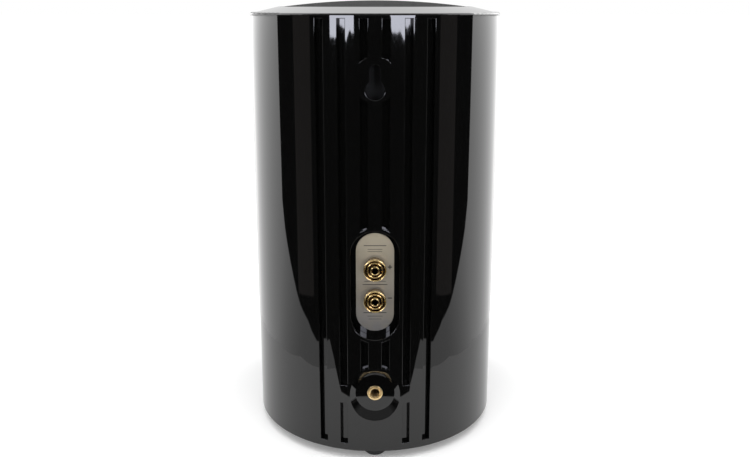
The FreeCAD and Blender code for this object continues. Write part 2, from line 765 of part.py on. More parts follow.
def binding_post(name, height):
    """Stud with a banana bore, its collar, a clamp washer and a fluted cap. Local Z points out."""
    at = ("0", "plate_y", height)
    tip = CAP_LOW + " + cap_length + stud_tip"
    stud = turned("post_stud_" + name, [
        ("0", "-stud_tail"), ("stud_radius", "-stud_tail"), ("stud_radius", "0"), ("collar_radius", "0"),
        ("collar_radius", COLLAR_TOP), ("stud_radius", COLLAR_TOP), ("stud_radius", tip),
        ("banana_radius", tip), ("banana_radius", "-banana_depth"), ("0", "-banana_depth"),
    ], at, BACK)
    running = "stud_radius + post_running_gap"
    node(ring("post_clamp_" + name, "collar_radius", running, COLLAR_TOP + " + post_seat_gap",
              CAP_LOW, at, BACK), "post_clamp_" + name)
    low, high = CAP_LOW + " + post_seat_gap", CAP_LOW + " + cap_length"
    cap = turned("post_cap_blank_" + name, [
        (running, low), ("cap_radius - cap_chamfer", low), ("cap_radius", low + " + cap_chamfer"),
        ("cap_radius", high + " - cap_chamfer"), ("cap_radius - cap_chamfer", high),
        ("stud_radius + cap_lip", high), ("stud_radius + cap_lip", high + " - cap_lip_depth"),
        (running, high + " - cap_lip_depth"),
    ], at, BACK)
    grooves = []
    for i, (x, z) in enumerate(on_circle("cap_radius + 0.3 * cap_groove", 20, 0, height)):
        grooves.append(rod("post_groove_%s_%d" % (name, i), "cap_groove", "cap_length + 4",
                           (x, "plate_y + %s - 1" % CAP_LOW, z), BACK))
    node(cut("post_cap_" + name, cap, grooves), "post_cap_" + name)
    return stud


def post_hardware():
    """Behind the cup: an insulating shoulder, a solder tab and a nut on each stud."""
    tab_front = "-cup_floor - insulator_thick"
    nut_front = tab_front + " - tab_thick"
    stacks = (
        ("post_insulators", "insulator_radius", tab_front, "-cup_floor"),
        ("solder_tabs", "tab_radius", nut_front, tab_front),
        ("post_nuts", "nut_radius", nut_front + " - nut_thick", nut_front),
    )
    for label, radius, low, high in stacks:
        made = []
        for name, height in POST_HEIGHTS.items():
            at = ("0", "plate_y", height)
            piece = ring(label + "_" + name, radius, "stud_radius + bore_gap", low, high, at, BACK)
            if label == "solder_tabs":
                tab = box("tab_" + name, ("stud_radius + 0.4", "plate_y " + low, "(%s) - 2" % height),
                          ("tab_reach", "plate_y " + high, "(%s) + 2" % height))
                piece = fuse("solder_tab_piece_" + name, [piece, tab])
            if label == "post_nuts":
                flats = prism("nut_flats_" + name, hexagon("nut_flat"), "stud_tail", at, FRONT)
                piece = common("post_nut_piece_" + name, piece, flats)
            made.append(piece)
        node(group(label, made), label)


def hexagon(flat):
    """Hexagon outline from half its width across flats."""
    return [("(%s) / cos(30 deg) * cos(%d deg)" % (flat, angle),
             "(%s) / cos(30 deg) * sin(%d deg)" % (flat, angle)) for angle in range(30, 390, 60)]


# Front ----------------------------------------------------------------------------------------

def front_baffle():
    plate = box("baffle_plate", ("baffle_gap - inner_radius", "baffle_y", "floor_z + baffle_gap"),
                ("inner_radius - baffle_gap", "baffle_back_y", "ceiling_z - baffle_gap"))
    start = "baffle_y - 1"
    tools = [
        rod("woofer_recess_tool", "woofer_radius + 0.3", "woofer_recess + 1", ("0", start, "woofer_z"), BACK),
        rod("woofer_hole", "basket_radius + 0.8", "baffle_thick + 2", ("0", start, "woofer_z"), BACK),
        rod("tweeter_recess_tool", "tweeter_radius + 0.3", "tweeter_recess + 1",
            ("0", start, "tweeter_z"), BACK),
        rod("tweeter_hole", "tweeter_can + 0.8", "baffle_thick + 2", ("0", start, "tweeter_z"), BACK),
    ]
    pilot = "screw_radius + screw_gap"
    for name, spots in (("woofer", WOOFER_SPOTS), ("tweeter", TWEETER_SPOTS), ("shell", BOSS_SPOTS)):
        tools += rods(name + "_screw_hole", spots, pilot, "baffle_thick + 2", start, BACK)
    tools.append(ring("well_clearance", "well_radius + well_wall + baffle_gap", "0",
                      "seat_z - shelf_thick - baffle_gap", "ridge_z", ("0", "axis_y", "0")))
    tools += rods("socket_hole", PEG_SPOTS, "peg_radius + peg_gap + socket_wall + press_gap",
                  "baffle_thick + 2", start, BACK)
    node(cut("front_baffle", plate, tools), "front_baffle")
    screws("baffle_screws", BOSS_SPOTS, "baffle_y", "baffle_thick + boss_length - 3", FRONT)
    sockets = []
    for i, (x, z) in enumerate(PEG_SPOTS):
        sockets.append(turned("socket_%d" % i, [
            ("peg_radius + peg_gap", "0"), ("peg_radius + peg_gap", "0.6 - baffle_thick"),
            ("0", "0.6 - baffle_thick"), ("0", "-baffle_thick"),
            ("peg_radius + peg_gap + socket_wall", "-baffle_thick"),
            ("peg_radius + peg_gap + socket_wall", "0"),
        ], (x, "baffle_y", z), FRONT))
    node(group("grille_sockets", sockets), "grille_sockets")


def bow_block(name, inset, back):
    """The front grille's outer form, offset inward by inset."""
    return prism(name, bow_points(inset, back), "shell_height - 2 * (%s)" % inset,
                 ("0", "0", "foot_height + (%s)" % inset))


def front_grille():
    cloth = cut("front_grille_cloth", bow_block("cloth_outer", "0", "grille_y"),
                [bow_block("cloth_inner", "cloth_thick", "grille_y + 1")])
    node(cloth, "front_grille_cloth")
    inset = "cloth_thick + grille_wall"
    room = prism("grille_room", bow_points(inset, "grille_y + 1"), "ceiling_z - foot_height - 2 * grille_wall",
                 ("0", "0", "foot_height + (%s)" % inset))
    half = "body_radius - grille_border"
    bar_top = "tweeter_z - tweeter_radius - window_gap"
    low_window = box("low_window", ("-(%s)" % half, "front_y - 1", "foot_height + grille_border"),
                     (half, "edge_y - grille_edge", bar_top + " - window_bar"))
    high_window = box("high_window", ("-(%s)" % half, "front_y - 1", bar_top),
                      (half, "edge_y - grille_edge", "ceiling_z - grille_border + grille_wall"))
    dish = cut("grille_dish", bow_block("grille_outer", "cloth_thick", "grille_y"),
               [room, low_window, high_window])
    bosses = common("peg_bosses", bow_block("peg_limit", "cloth_thick", "grille_y"),
                    fuse("peg_boss_set",
                         rods("peg_boss", PEG_SPOTS, "peg_boss", "grille_bow", "grille_y", FRONT)))
    pegs = rods("peg", PEG_SPOTS, "peg_radius", "peg_length + baffle_inset + grille_gap + 1",
                "grille_y - 1", BACK)
    node(fuse("front_grille_frame", [dish, bosses] + pegs), "front_grille_frame")


# Woofer: local Z = 0 at the baffle's front face and points out of the front -------------------

WOOFER_AT = ("0", "baffle_y", "woofer_z")
FLANGE_BACK = "gasket_thick - woofer_recess"
FLANGE_FRONT = "gasket_thick - woofer_recess + woofer_flange"
PLATE_FRONT = "-basket_depth - basket_sheet"
ROLL_MIDDLE = "cone_radius + 1 + roll_radius"


def roll_points(middle, radius, sheet_thick, base, inner, outer):
    """Half-round edge roll with a flat lip at each side."""
    reach = "sqrt((%s + %s) ^ 2 - (%s) ^ 2)" % (radius, sheet_thick, sheet_thick)
    top = "(%s) + %s" % (base, sheet_thick)
    crest = "(%s) + (%s)" % (base, radius)
    return [
        (inner, base),
        ("(%s) - (%s)" % (middle, radius), base),
        (middle, crest, radius, -1),
        ("(%s) + (%s)" % (middle, radius), base, radius, -1),
        (outer, base),
        (outer, top),
        ("(%s) + %s" % (middle, reach), top),
        (middle, "%s + %s" % (crest, sheet_thick), "(%s) + %s" % (radius, sheet_thick), 1),
        ("(%s) - %s" % (middle, reach), top, "(%s) + %s" % (radius, sheet_thick), 1),
        (inner, top),
    ]


def woofer_fixed():
    basket = turned("basket_turned", [
        ("basket_radius - 2", FLANGE_FRONT), ("woofer_radius", FLANGE_FRONT), ("woofer_radius", FLANGE_BACK),
        ("basket_radius", FLANGE_BACK), ("basket_radius", "-12"), ("basket_floor + 8", PLATE_FRONT),
        ("magnet_bore", PLATE_FRONT), ("magnet_bore", "-basket_depth"), ("basket_floor + 6", "-basket_depth"),
        ("basket_radius - 2", "-11.5"),
    ], WOOFER_AT, FRONT)
    windows = rods("basket_window", on_circle("(basket_radius + basket_floor + 8) / 2", 8, 22.5, "woofer_z"),
                   "basket_window", "basket_depth", "baffle_y + 8", BACK)
    holes = rods("basket_hole", WOOFER_SPOTS, "screw_radius + 0.1", "woofer_flange + 8", "baffle_y - 3", BACK)
    node(cut("woofer_basket", basket, windows + holes), "woofer_basket")
    gasket = ring("woofer_gasket_ring", "woofer_radius - 0.5", "basket_radius + 1", "-woofer_recess",
                  FLANGE_BACK, WOOFER_AT, FRONT)
    bores = rods("woofer_gasket_hole", WOOFER_SPOTS, "screw_radius + 0.3", "6", "baffle_y", BACK)
    node(cut("woofer_gasket", gasket, bores), "woofer_gasket")
    plate_back = PLATE_FRONT + " - plate_thick"
    magnet_back = plate_back + " - magnet_thick"
    node(ring("woofer_top_plate", "plate_radius", "coil_radius + coil_gap", plate_back, PLATE_FRONT,
              WOOFER_AT, FRONT), "woofer_top_plate")
    node(ring("woofer_magnet", "magnet_radius", "magnet_bore", magnet_back, plate_back, WOOFER_AT, FRONT),
         "woofer_magnet")
    node(turned("woofer_pole", [
        ("vent_radius", magnet_back + " - plate_thick"), ("plate_radius", magnet_back + " - plate_thick"),
        ("plate_radius", magnet_back), ("pole_radius", magnet_back), ("pole_radius", PLATE_FRONT),
        ("vent_radius", PLATE_FRONT),
    ], WOOFER_AT, FRONT), "woofer_pole")
    node(box("woofer_terminals",
             ("-terminal_half_width", "baffle_y + basket_depth + basket_sheet", "woofer_z - terminal_low"),
             ("terminal_half_width", "baffle_y + basket_depth + basket_sheet + terminal_thick",
              "woofer_z - plate_radius - 1")), "woofer_terminals")


def spider_points(inner, outer, level, folds):
    """Corrugated disc: its folds run up and down by one millimetre."""
    upper = []
    for i in range(folds + 1):
        rise = 0 if i in (0, folds) else (1 if i % 2 else -1)
        radius = "(%s) + ((%s) - (%s)) * %g" % (inner, outer, inner, i / folds)
        upper.append((radius, "(%s) + %d" % (level, rise)))
    lower = [(radius, height + " - 0.5") for radius, height in reversed(upper)]
    return lower + upper


def woofer_moving():
    coil_low = PLATE_FRONT + " - plate_thick / 2 - coil_length / 2"
    neck = "coil_radius - coil_wire"
    node(ring("woofer_coil_former", neck, neck + " - 0.2", coil_low, "-cone_depth", WOOFER_AT, FRONT),
         "woofer_coil_former")
    node(ring("woofer_voice_coil", "coil_radius", neck, coil_low, coil_low + " + coil_length",
              WOOFER_AT, FRONT), "woofer_voice_coil")
    node(turned("woofer_cone", [
        (neck, "-cone_depth - 1"), ("cone_radius", "-0.8"), ("cone_radius", "0"), ("cone_radius - 1.4", "0"),
        (neck, "-cone_depth"),
    ], WOOFER_AT, FRONT), "woofer_cone")
    base = "-cone_depth * (1 - (dust_cap_radius - (%s)) / (cone_radius - 1.4 - (%s)))" % (neck, neck)
    node(turned("woofer_dust_cap", [
        ("0", base + " + dust_cap_rise"),
        ("dust_cap_radius", base, cap_sphere("dust_cap_radius", "dust_cap_rise"), -1),
        ("dust_cap_radius - 1.4", base),
        ("0", base + " + dust_cap_rise - 0.8", cap_sphere("dust_cap_radius - 1.4", "dust_cap_rise - 0.8"), 1),
    ], WOOFER_AT, FRONT), "woofer_dust_cap")
    node(turned("woofer_surround", roll_points(ROLL_MIDDLE, "roll_radius", "0.7", "0", "cone_radius - 1.4",
                                               "basket_radius + 2"), WOOFER_AT, FRONT), "woofer_surround")
    node(turned("woofer_spider", spider_points(neck, "basket_floor + 10", "-cone_depth - 6", 9),
                WOOFER_AT, FRONT), "woofer_spider")


# Tweeter: local Z = 0 at the baffle's front face ----------------------------------------------

TWEETER_AT = ("0", "baffle_y", "tweeter_z")


def tweeter():
    back = "gasket_thick - tweeter_recess"
    front = back + " + tweeter_plate"
    mouth = "dome_radius + tweeter_mouth"
    plate = turned("tweeter_plate_turned", [
        (mouth, back), ("tweeter_radius", back), ("tweeter_radius", front),
        ("dome_radius + tweeter_flare", front), (mouth, front + " - 1.5"),
    ], TWEETER_AT, FRONT)
    holes = rods("tweeter_plate_hole", TWEETER_SPOTS, "screw_radius + 0.1", "8", "baffle_y - 3", BACK)
    node(cut("tweeter_faceplate", plate, holes), "tweeter_faceplate")
    gasket = ring("tweeter_gasket_ring", "tweeter_radius - 0.5", "tweeter_can + 1", "-tweeter_recess", back,
                  TWEETER_AT, FRONT)
    bores = rods("tweeter_gasket_hole", TWEETER_SPOTS, "screw_radius + 0.3", "6", "baffle_y", BACK)
    node(cut("tweeter_gasket", gasket, bores), "tweeter_gasket")
    node(turned("tweeter_can", [
        ("0", "-can_depth"), ("tweeter_can", "-can_depth"), ("tweeter_can", back),
        ("tweeter_can - can_wall", back), ("tweeter_can - can_wall", "can_wall - can_depth"),
        ("0", "can_wall - can_depth"),
    ], TWEETER_AT, FRONT), "tweeter_can")
    node(ring("tweeter_top_plate", "tweeter_magnet", "dome_radius + coil_gap", "-tweeter_plate_back",
              "-tweeter_plate_front", TWEETER_AT, FRONT), "tweeter_top_plate")
    node(ring("tweeter_magnet", "tweeter_magnet", "dome_radius + 2.5", "-tweeter_magnet_back",
              "-tweeter_plate_back", TWEETER_AT, FRONT), "tweeter_magnet")
    pole = "dome_radius - 0.6"
    node(turned("tweeter_pole", [
        ("2", "can_wall - can_depth"), ("tweeter_magnet", "can_wall - can_depth"),
        ("tweeter_magnet", "-tweeter_magnet_back"), (pole, "-tweeter_magnet_back"),
        (pole, "-tweeter_plate_front"), ("2", "-tweeter_plate_front"),
    ], TWEETER_AT, FRONT), "tweeter_pole")
    base = "-tweeter_dome_level"
    node(turned("tweeter_dome", [
        ("0", base + " + dome_rise"), ("dome_radius", base, cap_sphere("dome_radius", "dome_rise"), -1),
        ("dome_radius - 0.6", base),
        ("0", base + " + dome_rise - 0.4", cap_sphere("dome_radius - 0.6", "dome_rise - 0.4"), 1),
    ], TWEETER_AT, FRONT), "tweeter_dome")
    node(ring("tweeter_coil", "dome_radius", "dome_radius - 0.25", "-tweeter_coil_low", base,
              TWEETER_AT, FRONT), "tweeter_coil")
    node(turned("tweeter_surround", roll_points("dome_radius + 1.9", "1.3", "0.3", base, "dome_radius + 0.05",
                                                "dome_radius + 3.6"), TWEETER_AT, FRONT), "tweeter_surround")


# Passive radiator: local Z = 0 at its seat in the top -----------------------------------------

RADIATOR_AT = ("0", "axis_y", "seat_z")
FLANGE_INNER = "diaphragm_radius + 0.7 + 2 * radiator_roll"


def radiator():
    base = "gasket_thick + radiator_flange"
    gasket = ring("radiator_gasket_ring", "well_radius - 0.5", "shelf_radius + 0.3", "0", "gasket_thick",
                  RADIATOR_AT)
    bores = rods("radiator_gasket_hole", RADIATOR_SPOTS, "screw_radius + 0.3", "4", "seat_z - 1", UP)
    node(cut("radiator_gasket", gasket, bores), "radiator_gasket")
    frame = ring("radiator_frame_ring", "well_radius - 0.3", FLANGE_INNER, "gasket_thick", base, RADIATOR_AT)
    holes = rods("radiator_frame_hole", RADIATOR_SPOTS, "screw_radius + 0.1", "radiator_flange + 4",
                 "seat_z - 1", UP)
    node(cut("radiator_frame", frame, holes), "radiator_frame")
    roll = roll_points("diaphragm_radius + 0.5 + radiator_roll", "radiator_roll", "0.7", base,
                       "diaphragm_radius - 1.5", FLANGE_INNER + " + 2.5")
    node(turned("radiator_surround", roll, RADIATOR_AT), "radiator_surround")
    node(ring("radiator_diaphragm", "diaphragm_radius + 0.3", "0", base + " - diaphragm_thick", base,
              RADIATOR_AT), "radiator_diaphragm")
    node(ring("radiator_weight", "weight_radius", "0", base + " - diaphragm_thick - weight_thick",
              base + " - diaphragm_thick", RADIATOR_AT), "radiator_weight")


def driver_screws():
    """The same screw holds the woofer, the tweeter and the radiator."""
    grip = "driver_screw_grip"
    tweeter_front = "gasket_thick - tweeter_recess + tweeter_plate"
    pieces = screw_set("woofer_screw", WOOFER_SPOTS, "baffle_y - (%s)" % FLANGE_FRONT, grip, FRONT)
    pieces += screw_set("tweeter_screw", TWEETER_SPOTS, "baffle_y - (%s)" % tweeter_front, grip, FRONT)
    pieces += screw_set("radiator_screw", RADIATOR_SPOTS, "seat_z + gasket_thick + radiator_flange", grip, UP)
    node(group("driver_screws", pieces), "driver_screws")


def top_grille():
    """Domed cap over the radiator: a ribbed frame with cloth stretched over it."""
    edge = "ridge_z - dome_edge"
    low = "step_z + 0.05"
    at = ("0", "axis_y", "0")
    inner = "cap_outer - cloth_thick"
    node(turned("top_grille_cloth", [
        (inner, low), ("cap_outer", low), ("cap_outer", edge),
        ("0", "crown_z", cap_sphere("cap_outer", "cap_rise"), 1), ("0", "crown_z - cloth_thick"),
        (inner, edge + " - cloth_thick", cap_sphere(inner, "cap_rise"), -1),
    ], at), "top_grille_cloth")
    rim = ring("top_rim", inner, inner + " - cap_ring", low, edge + " - cloth_thick - 0.1", at)
    arch = turned("top_arch", [
        ("0", "crown_z - cloth_thick - 2.6"), (inner + " - 1", edge + " - cloth_thick - 2.7"),
        (inner + " - 1", edge + " - cloth_thick - 0.1"), ("0", "crown_z - cloth_thick - 0.1"),
    ], at)
    bars = [
        box("bar_along", ("-rib_width / 2", "axis_y - (%s)" % inner, "step_z"),
            ("rib_width / 2", "axis_y + (%s)" % inner, "crown_z")),
        box("bar_across", ("-(%s)" % inner, "axis_y - rib_width / 2", "step_z"),
            (inner, "axis_y + rib_width / 2", "crown_z")),
    ]
    for i, share in enumerate((0.33, 0.66)):
        middle = "(%s) * %g" % (inner, share)
        bars.append(ring("hoop_%d" % i, middle + " + rib_width / 2", middle + " - rib_width / 2", "step_z",
                         "crown_z", at))
    ribs = common("top_ribs", arch, fuse("top_bars", bars))
    node(fuse("top_grille_frame", [rim, ribs]), "top_grille_frame")


# Crossover, wool and leads --------------------------------------------------------------------

def crossover():
    board = box("board_plate", ("-board_length / 2", "board_front", "board_z"),
                ("board_length / 2", "board_back", "board_top_z"))
    node(cut("crossover_board", board, rods("board_hole", BOARD_SPOTS, "screw_radius + 0.1", "6",
                                            "board_z - 2", UP)), "crossover_board")
    pillars = []
    for i, (x, y) in enumerate(BOARD_SPOTS):
        pillars.append(ring("pillar_%d" % i, "standoff_radius", "screw_radius + screw_gap", "0",
                            "standoff_height", (x, y, "floor_z")))
    node(group("board_standoffs", pillars), "board_standoffs")
    screws("board_screws", BOARD_SPOTS, "board_top_z", "board_thick + standoff_height - 0.5", UP)
    coils = [
        ring("woofer_inductor", "inductor_radius", "inductor_bore", "0", "inductor_height",
             ("-inductor_side", "board_back - 18", "board_top_z")),
        ring("tweeter_inductor", "small_inductor_radius", "small_inductor_bore", "0", "small_inductor_height",
             ("inductor_side", "board_back - 16", "board_top_z")),
    ]
    node(group("crossover_inductors", coils), "crossover_inductors")
    cans = []
    for i, x in enumerate(("-40", "8")):
        cans.append(rod("capacitor_%d" % i, "capacitor_radius", "capacitor_length",
                        (x, "board_front + 14", "board_top_z + capacitor_radius"), ACROSS))
    node(group("crossover_capacitors", cans), "crossover_capacitors")
    node(box("crossover_resistor", ("-6", "board_back - 38", "board_top_z"),
             ("4", "board_back - 4", "board_top_z + resistor_height")), "crossover_resistor")


def damping_wool():
    side, middle = "wool_front + wool_side_depth", "wool_front + wool_middle_depth"
    pad = prism("damping_wool", [
        ("-wool_half_width", "wool_front"), ("wool_half_width", "wool_front"), ("wool_half_width", side),
        ("0", middle, "wool_bow", 1), ("-wool_half_width", side, "wool_bow", 1),
    ], "wool_height", ("0", "0", "wool_low"))
    node(pad, "damping_wool")


def bent_path(points):
    """Straight runs with a tangent arc at each corner, as large as the shorter run allows."""
    edges = []
    last = points[0]
    for before, corner, after in zip(points, points[1:], points[2:]):
        inward = (corner - before).normalize()
        outward = (after - corner).normalize()
        trim = 0.45 * min((corner - before).Length, (after - corner).Length)
        start = corner - inward * trim
        end = corner + outward * trim
        half_turn = inward.getAngle(outward) / 2
        radius = trim / math.tan(half_turn)
        bisector = (outward - inward).normalize()
        middle = corner + bisector * (radius / math.cos(half_turn) - radius)
        edges.append(Part.LineSegment(last, start).toShape())
        edges.append(Part.Arc(start, middle, end).toShape())
        last = end
    edges.append(Part.LineSegment(last, points[-1]).toShape())
    return Part.Wire(edges)


def leads(name, routes):
    """A pair of insulated wires. Their routes are lists of expression triples."""
    tubes = []
    for route in routes:
        path = bent_path([FreeCAD.Vector(*[num(value) for value in spot]) for spot in route])
        start = path.Edges[0]
        circle = Part.Circle(start.valueAt(start.FirstParameter), start.tangentAt(start.FirstParameter),
                             num("lead_radius"))
        tubes.append(path.makePipeShell([Part.Wire(circle.toShape())], True, False))
    feature = doc.addObject("Part::Feature", name)
    feature.Shape = Part.makeCompound(tubes)
    return feature


def all_leads():
    front = "board_front + 3"
    woofer_pair = leads("woofer_leads", [[
        ("%s" % x, front, "board_top_z + 1"), ("%s" % x, front, "board_top_z + 14"),
        ("%s * 1.5" % x, "board_front - 6", "board_top_z + 24"),
        ("%s" % x, "baffle_y + basket_depth + basket_sheet + 3", "woofer_z - 44"),
    ] for x in (-4, 4)])
    tweeter_pair = leads("tweeter_leads", [[
        ("44", y, "board_top_z + 1"), ("44", y, "board_top_z + 16"), ("56", y + " - 4", "woofer_z - 20"),
        ("57", y + " - 8", "woofer_z + 40"), ("40", y + " - 10", "tweeter_z - 24"),
        ("%d" % end, "baffle_y + can_depth + 1.2", "tweeter_z - 8"),
    ] for y, end in (("board_front + 14", 8), ("board_front + 19", 12))])
    input_pair = leads("input_leads", [[
        ("7.5", "plate_y - 6.8", height), ("7.5", "plate_y - 13", height),
        ("%s" % reach, "plate_y - 18", "recess_z - 30"),
        ("%s" % (reach + 4), "board_back - 4", "board_top_z + 22"),
        ("%s" % (reach + 4), "board_back - 4", "board_top_z + 1"),
    ] for reach, height in ((30, POST_HEIGHTS["upper"]), (24, POST_HEIGHTS["lower"]))])
    node(group("driver_leads", [woofer_pair, tweeter_pair]), "driver_leads")
    node(input_pair, "input_leads")


def check_and_export():
    doc.recompute()
    for obj in doc.Objects:
        if "Invalid" in obj.State or "Error" in obj.State:
            raise RuntimeError("failed object: " + obj.Name)
    for obj in NODES:
        if obj.Shape.isNull() or not obj.Shape.isValid() or not obj.Shape.Solids:
            raise RuntimeError("bad shape: " + obj.Label)
    os.makedirs("parts", exist_ok=True)
    for obj in NODES:
        obj.Shape.exportStep("parts/%s.step" % obj.Label)
        print("%-24s %2d solids %12.1f mm3" % (obj.Label, len(obj.Shape.Solids), obj.Shape.Volume))
    print(len(NODES), "nodes")


fill_sheet()
rear_shell()
feet()
threaded_insert()
keyhole_cover()
terminal_cup()
label_plate()
studs = [binding_post(post, height) for post, height in POST_HEIGHTS.items()]
node(group("post_studs", studs), "post_studs")
post_hardware()
front_baffle()
front_grille()
woofer_fixed()
woofer_moving()
tweeter()
radiator()
driver_screws()
top_grille()
crossover()
damping_wool()
all_leads()
check_and_export()
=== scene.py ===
"""Looks for a compact satellite speaker: piano-gloss shell, black cloth grilles, gold posts."""
import json
import math
import random

import bmesh
import bpy
from mathutils import Matrix, Vector, noise as smooth_noise


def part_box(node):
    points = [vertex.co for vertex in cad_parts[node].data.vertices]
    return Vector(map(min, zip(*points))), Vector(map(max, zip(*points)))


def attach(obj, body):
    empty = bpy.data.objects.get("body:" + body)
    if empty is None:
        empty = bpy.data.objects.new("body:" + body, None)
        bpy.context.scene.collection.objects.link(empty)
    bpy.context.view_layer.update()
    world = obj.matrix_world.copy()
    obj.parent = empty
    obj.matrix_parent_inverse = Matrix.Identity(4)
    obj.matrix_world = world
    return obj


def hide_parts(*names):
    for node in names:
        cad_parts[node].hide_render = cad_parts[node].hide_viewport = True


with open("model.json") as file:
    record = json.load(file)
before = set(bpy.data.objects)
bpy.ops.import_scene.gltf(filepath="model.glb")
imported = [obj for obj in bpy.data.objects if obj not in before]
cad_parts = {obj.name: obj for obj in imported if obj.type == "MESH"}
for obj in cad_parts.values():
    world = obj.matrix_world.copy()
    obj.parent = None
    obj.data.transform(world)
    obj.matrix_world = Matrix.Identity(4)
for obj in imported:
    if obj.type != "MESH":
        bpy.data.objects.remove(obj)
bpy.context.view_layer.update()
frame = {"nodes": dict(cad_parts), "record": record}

# Places and sizes, in metres ------------------------------------------------------------------

SHELL_LOW, SHELL_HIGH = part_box("rear_shell")
DOME_LOW, DOME_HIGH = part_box("top_grille_cloth")
BACK_Y = SHELL_HIGH.y
SHELL_RADIUS = SHELL_HIGH.x
AXIS_Y = BACK_Y - SHELL_RADIUS
RIDGE_Z = SHELL_HIGH.z
DOME_RADIUS = DOME_HIGH.x

SHARP_ANGLE = math.radians(38)
CLOTH_THICKNESS = 0.0005
STUD_RADIUS = 0.0026
BANANA_RADIUS = 0.002

FLOOR_REACH = 20.0
DARK_FLOOR_Z = 0.0004
FAR_FLOOR_Z = 0.0002
FAR_FLOOR_START = 0.2
FAR_FLOOR_CARDS = 12


# Shader tools ---------------------------------------------------------------------------------

class Signal:
    """A socket that takes part in arithmetic. Each operation adds a Math node."""

    def __init__(self, tree, socket):
        self.tree = tree
        self.socket = socket

    def _math(self, operation, *values):
        return add_node(self.tree, "ShaderNodeMath", {"operation": operation}, values)

    def __add__(self, other):
        return self._math("ADD", self, other)

    def __radd__(self, other):
        return self._math("ADD", other, self)

    def __sub__(self, other):
        return self._math("SUBTRACT", self, other)

    def __rsub__(self, other):
        return self._math("SUBTRACT", other, self)

    def __mul__(self, other):
        return self._math("MULTIPLY", self, other)

    def __rmul__(self, other):
        return self._math("MULTIPLY", other, self)

    def __truediv__(self, other):
        return self._math("DIVIDE", self, other)

    def __rtruediv__(self, other):
        return self._math("DIVIDE", other, self)

    def __pow__(self, other):
        return self._math("POWER", self, other)

    def __rpow__(self, other):
        return self._math("POWER", other, self)

    def least(self, other):
        return self._math("MINIMUM", self, other)

    def most(self, other):
        return self._math("MAXIMUM", self, other)

    def size(self):
        return self._math("ABSOLUTE", self)

    def sine(self):
        return self._math("SINE", self)

    def log(self):
        return self._math("LOGARITHM", self, math.e)

    def above(self, other):
        return self._math("GREATER_THAN", self, other)

    def clamped(self):
        return self.most(0.0).least(1.0)

    def rise(self, start, slope):
        """0 as far as start, then up to 1. A negative slope rises on the low side of start."""
        return ((self - start) * slope).clamped()

    def sibling(self, output):
        """Another output of the same node."""
        return Signal(self.tree, self.socket.node.outputs[output])


def add_node(tree, kind, settings=None, inputs=(), output=0):
    """Adds one node. Settings come first; inputs are values or Signals, in order or by socket."""
    made = tree.nodes.new(kind)
    for key, value in (settings or {}).items():
        setattr(made, key, value)
    for key, value in inputs.items() if isinstance(inputs, dict) else enumerate(inputs):
        if isinstance(value, Signal):
            tree.links.new(value.socket, made.inputs[key])
        else:
            made.inputs[key].default_value = value
    return Signal(tree, made.outputs[output]) if made.outputs else None


def split(vector):
    first = add_node(vector.tree, "ShaderNodeSeparateXYZ", inputs=[vector])
    return [first.sibling(axis) for axis in range(3)]


def join(x, y, z):
    return add_node(x.tree, "ShaderNodeCombineXYZ", inputs=[x, y, z])


def noise(place, scale, detail=2.0, roughness=0.5):
    return add_node(place.tree, "ShaderNodeTexNoise", inputs={
        "Vector": place, "Scale": scale, "Detail": detail, "Roughness": roughness})


def blend_colours(share, first, second):
    """Mixes two colours, which may be Signals, by a share from 0 to 1."""
    factor, colour_a, colour_b, colour_result = 0, 6, 7, 2
    return add_node(share.tree, "ShaderNodeMix", {"data_type": "RGBA"},
                    {factor: share, colour_a: first, colour_b: second}, colour_result)


def bump(height, distance, strength):
    return add_node(height.tree, "ShaderNodeBump", inputs={
        "Strength": strength, "Distance": distance, "Height": height})


def weave_height(across, along, pitch):
    """Plain weave: threads over and under, from two crossed waves."""
    turn = 2 * math.pi / pitch
    over = (across * turn).sine() * (along * (turn / 2)).sine()
    under = (along * turn).sine() * (across * (turn / 2)).sine()
    return over.size().most(under.size())


def material(name, fixed, build):
    """A Principled material. fixed sets sockets by name; build(place) gives those that vary."""
    made = bpy.data.materials.new(name)
    made.use_nodes = True
    tree = made.node_tree
    shader = tree.nodes["Principled BSDF"]
    for key, value in fixed.items():
        shader.inputs[key].default_value = value
    for key, signal in build(add_node(tree, "ShaderNodeTexCoord", output="Object")).items():
        tree.links.new(signal.socket, shader.inputs[key])
    return made


def emptied_tree(owner):
    owner.use_nodes = True
    owner.node_tree.nodes.clear()
    return owner.node_tree


def grey(value):
    return (value, value, value, 1.0)


# Finishes -------------------------------------------------------------------------------------

GOLD, DULL_GOLD = (0.78, 0.6, 0.3, 1), (0.6, 0.38, 0.12, 1)
BRASS, DULL_BRASS = (0.83, 0.62, 0.32, 1), (0.5, 0.28, 0.1, 1)
ZINC, DULL_ZINC = (0.6, 0.6, 0.58, 1), (0.45, 0.44, 0.4, 1)
# Tarnish mixed with painted shade, for the hollows of the posts and the insert bore
TARNISH_AND_SHADE = (0.1, 0.055, 0.016, 1)


def gloss_black(name):
    """Piano-gloss moulding: deep black with a very shallow waviness and a breath of dust."""
    def build(place):
        dust = noise(place, 900.0, detail=3.0).rise(0.66, 3.0)
        haze = noise(place, 14.0)
        waves = noise(place, 55.0, detail=1.0)
        return {
            "Base Color": blend_colours(dust, grey(0.0022), grey(0.02)),
            "Roughness": 0.022 + haze * 0.02 + dust * 0.25,
            "Normal": bump(waves, distance=0.00001, strength=0.25),
        }
    return material(name, {"IOR": 1.5}, build)


def moulded_plastic(name, tone, texture):
    """Matt ABS with a fine spark-eroded grain."""
    def build(place):
        grain = noise(place, 2600.0)
        patches = noise(place, 90.0)
        return {
            "Base Color": blend_colours(patches, grey(tone * 0.8), grey(tone * 1.3)),
            "Roughness": 0.42 + patches * 0.15,
            "Normal": bump(grain, distance=texture, strength=0.5),
        }
    return material(name, {"Specular IOR Level": 0.3}, build)


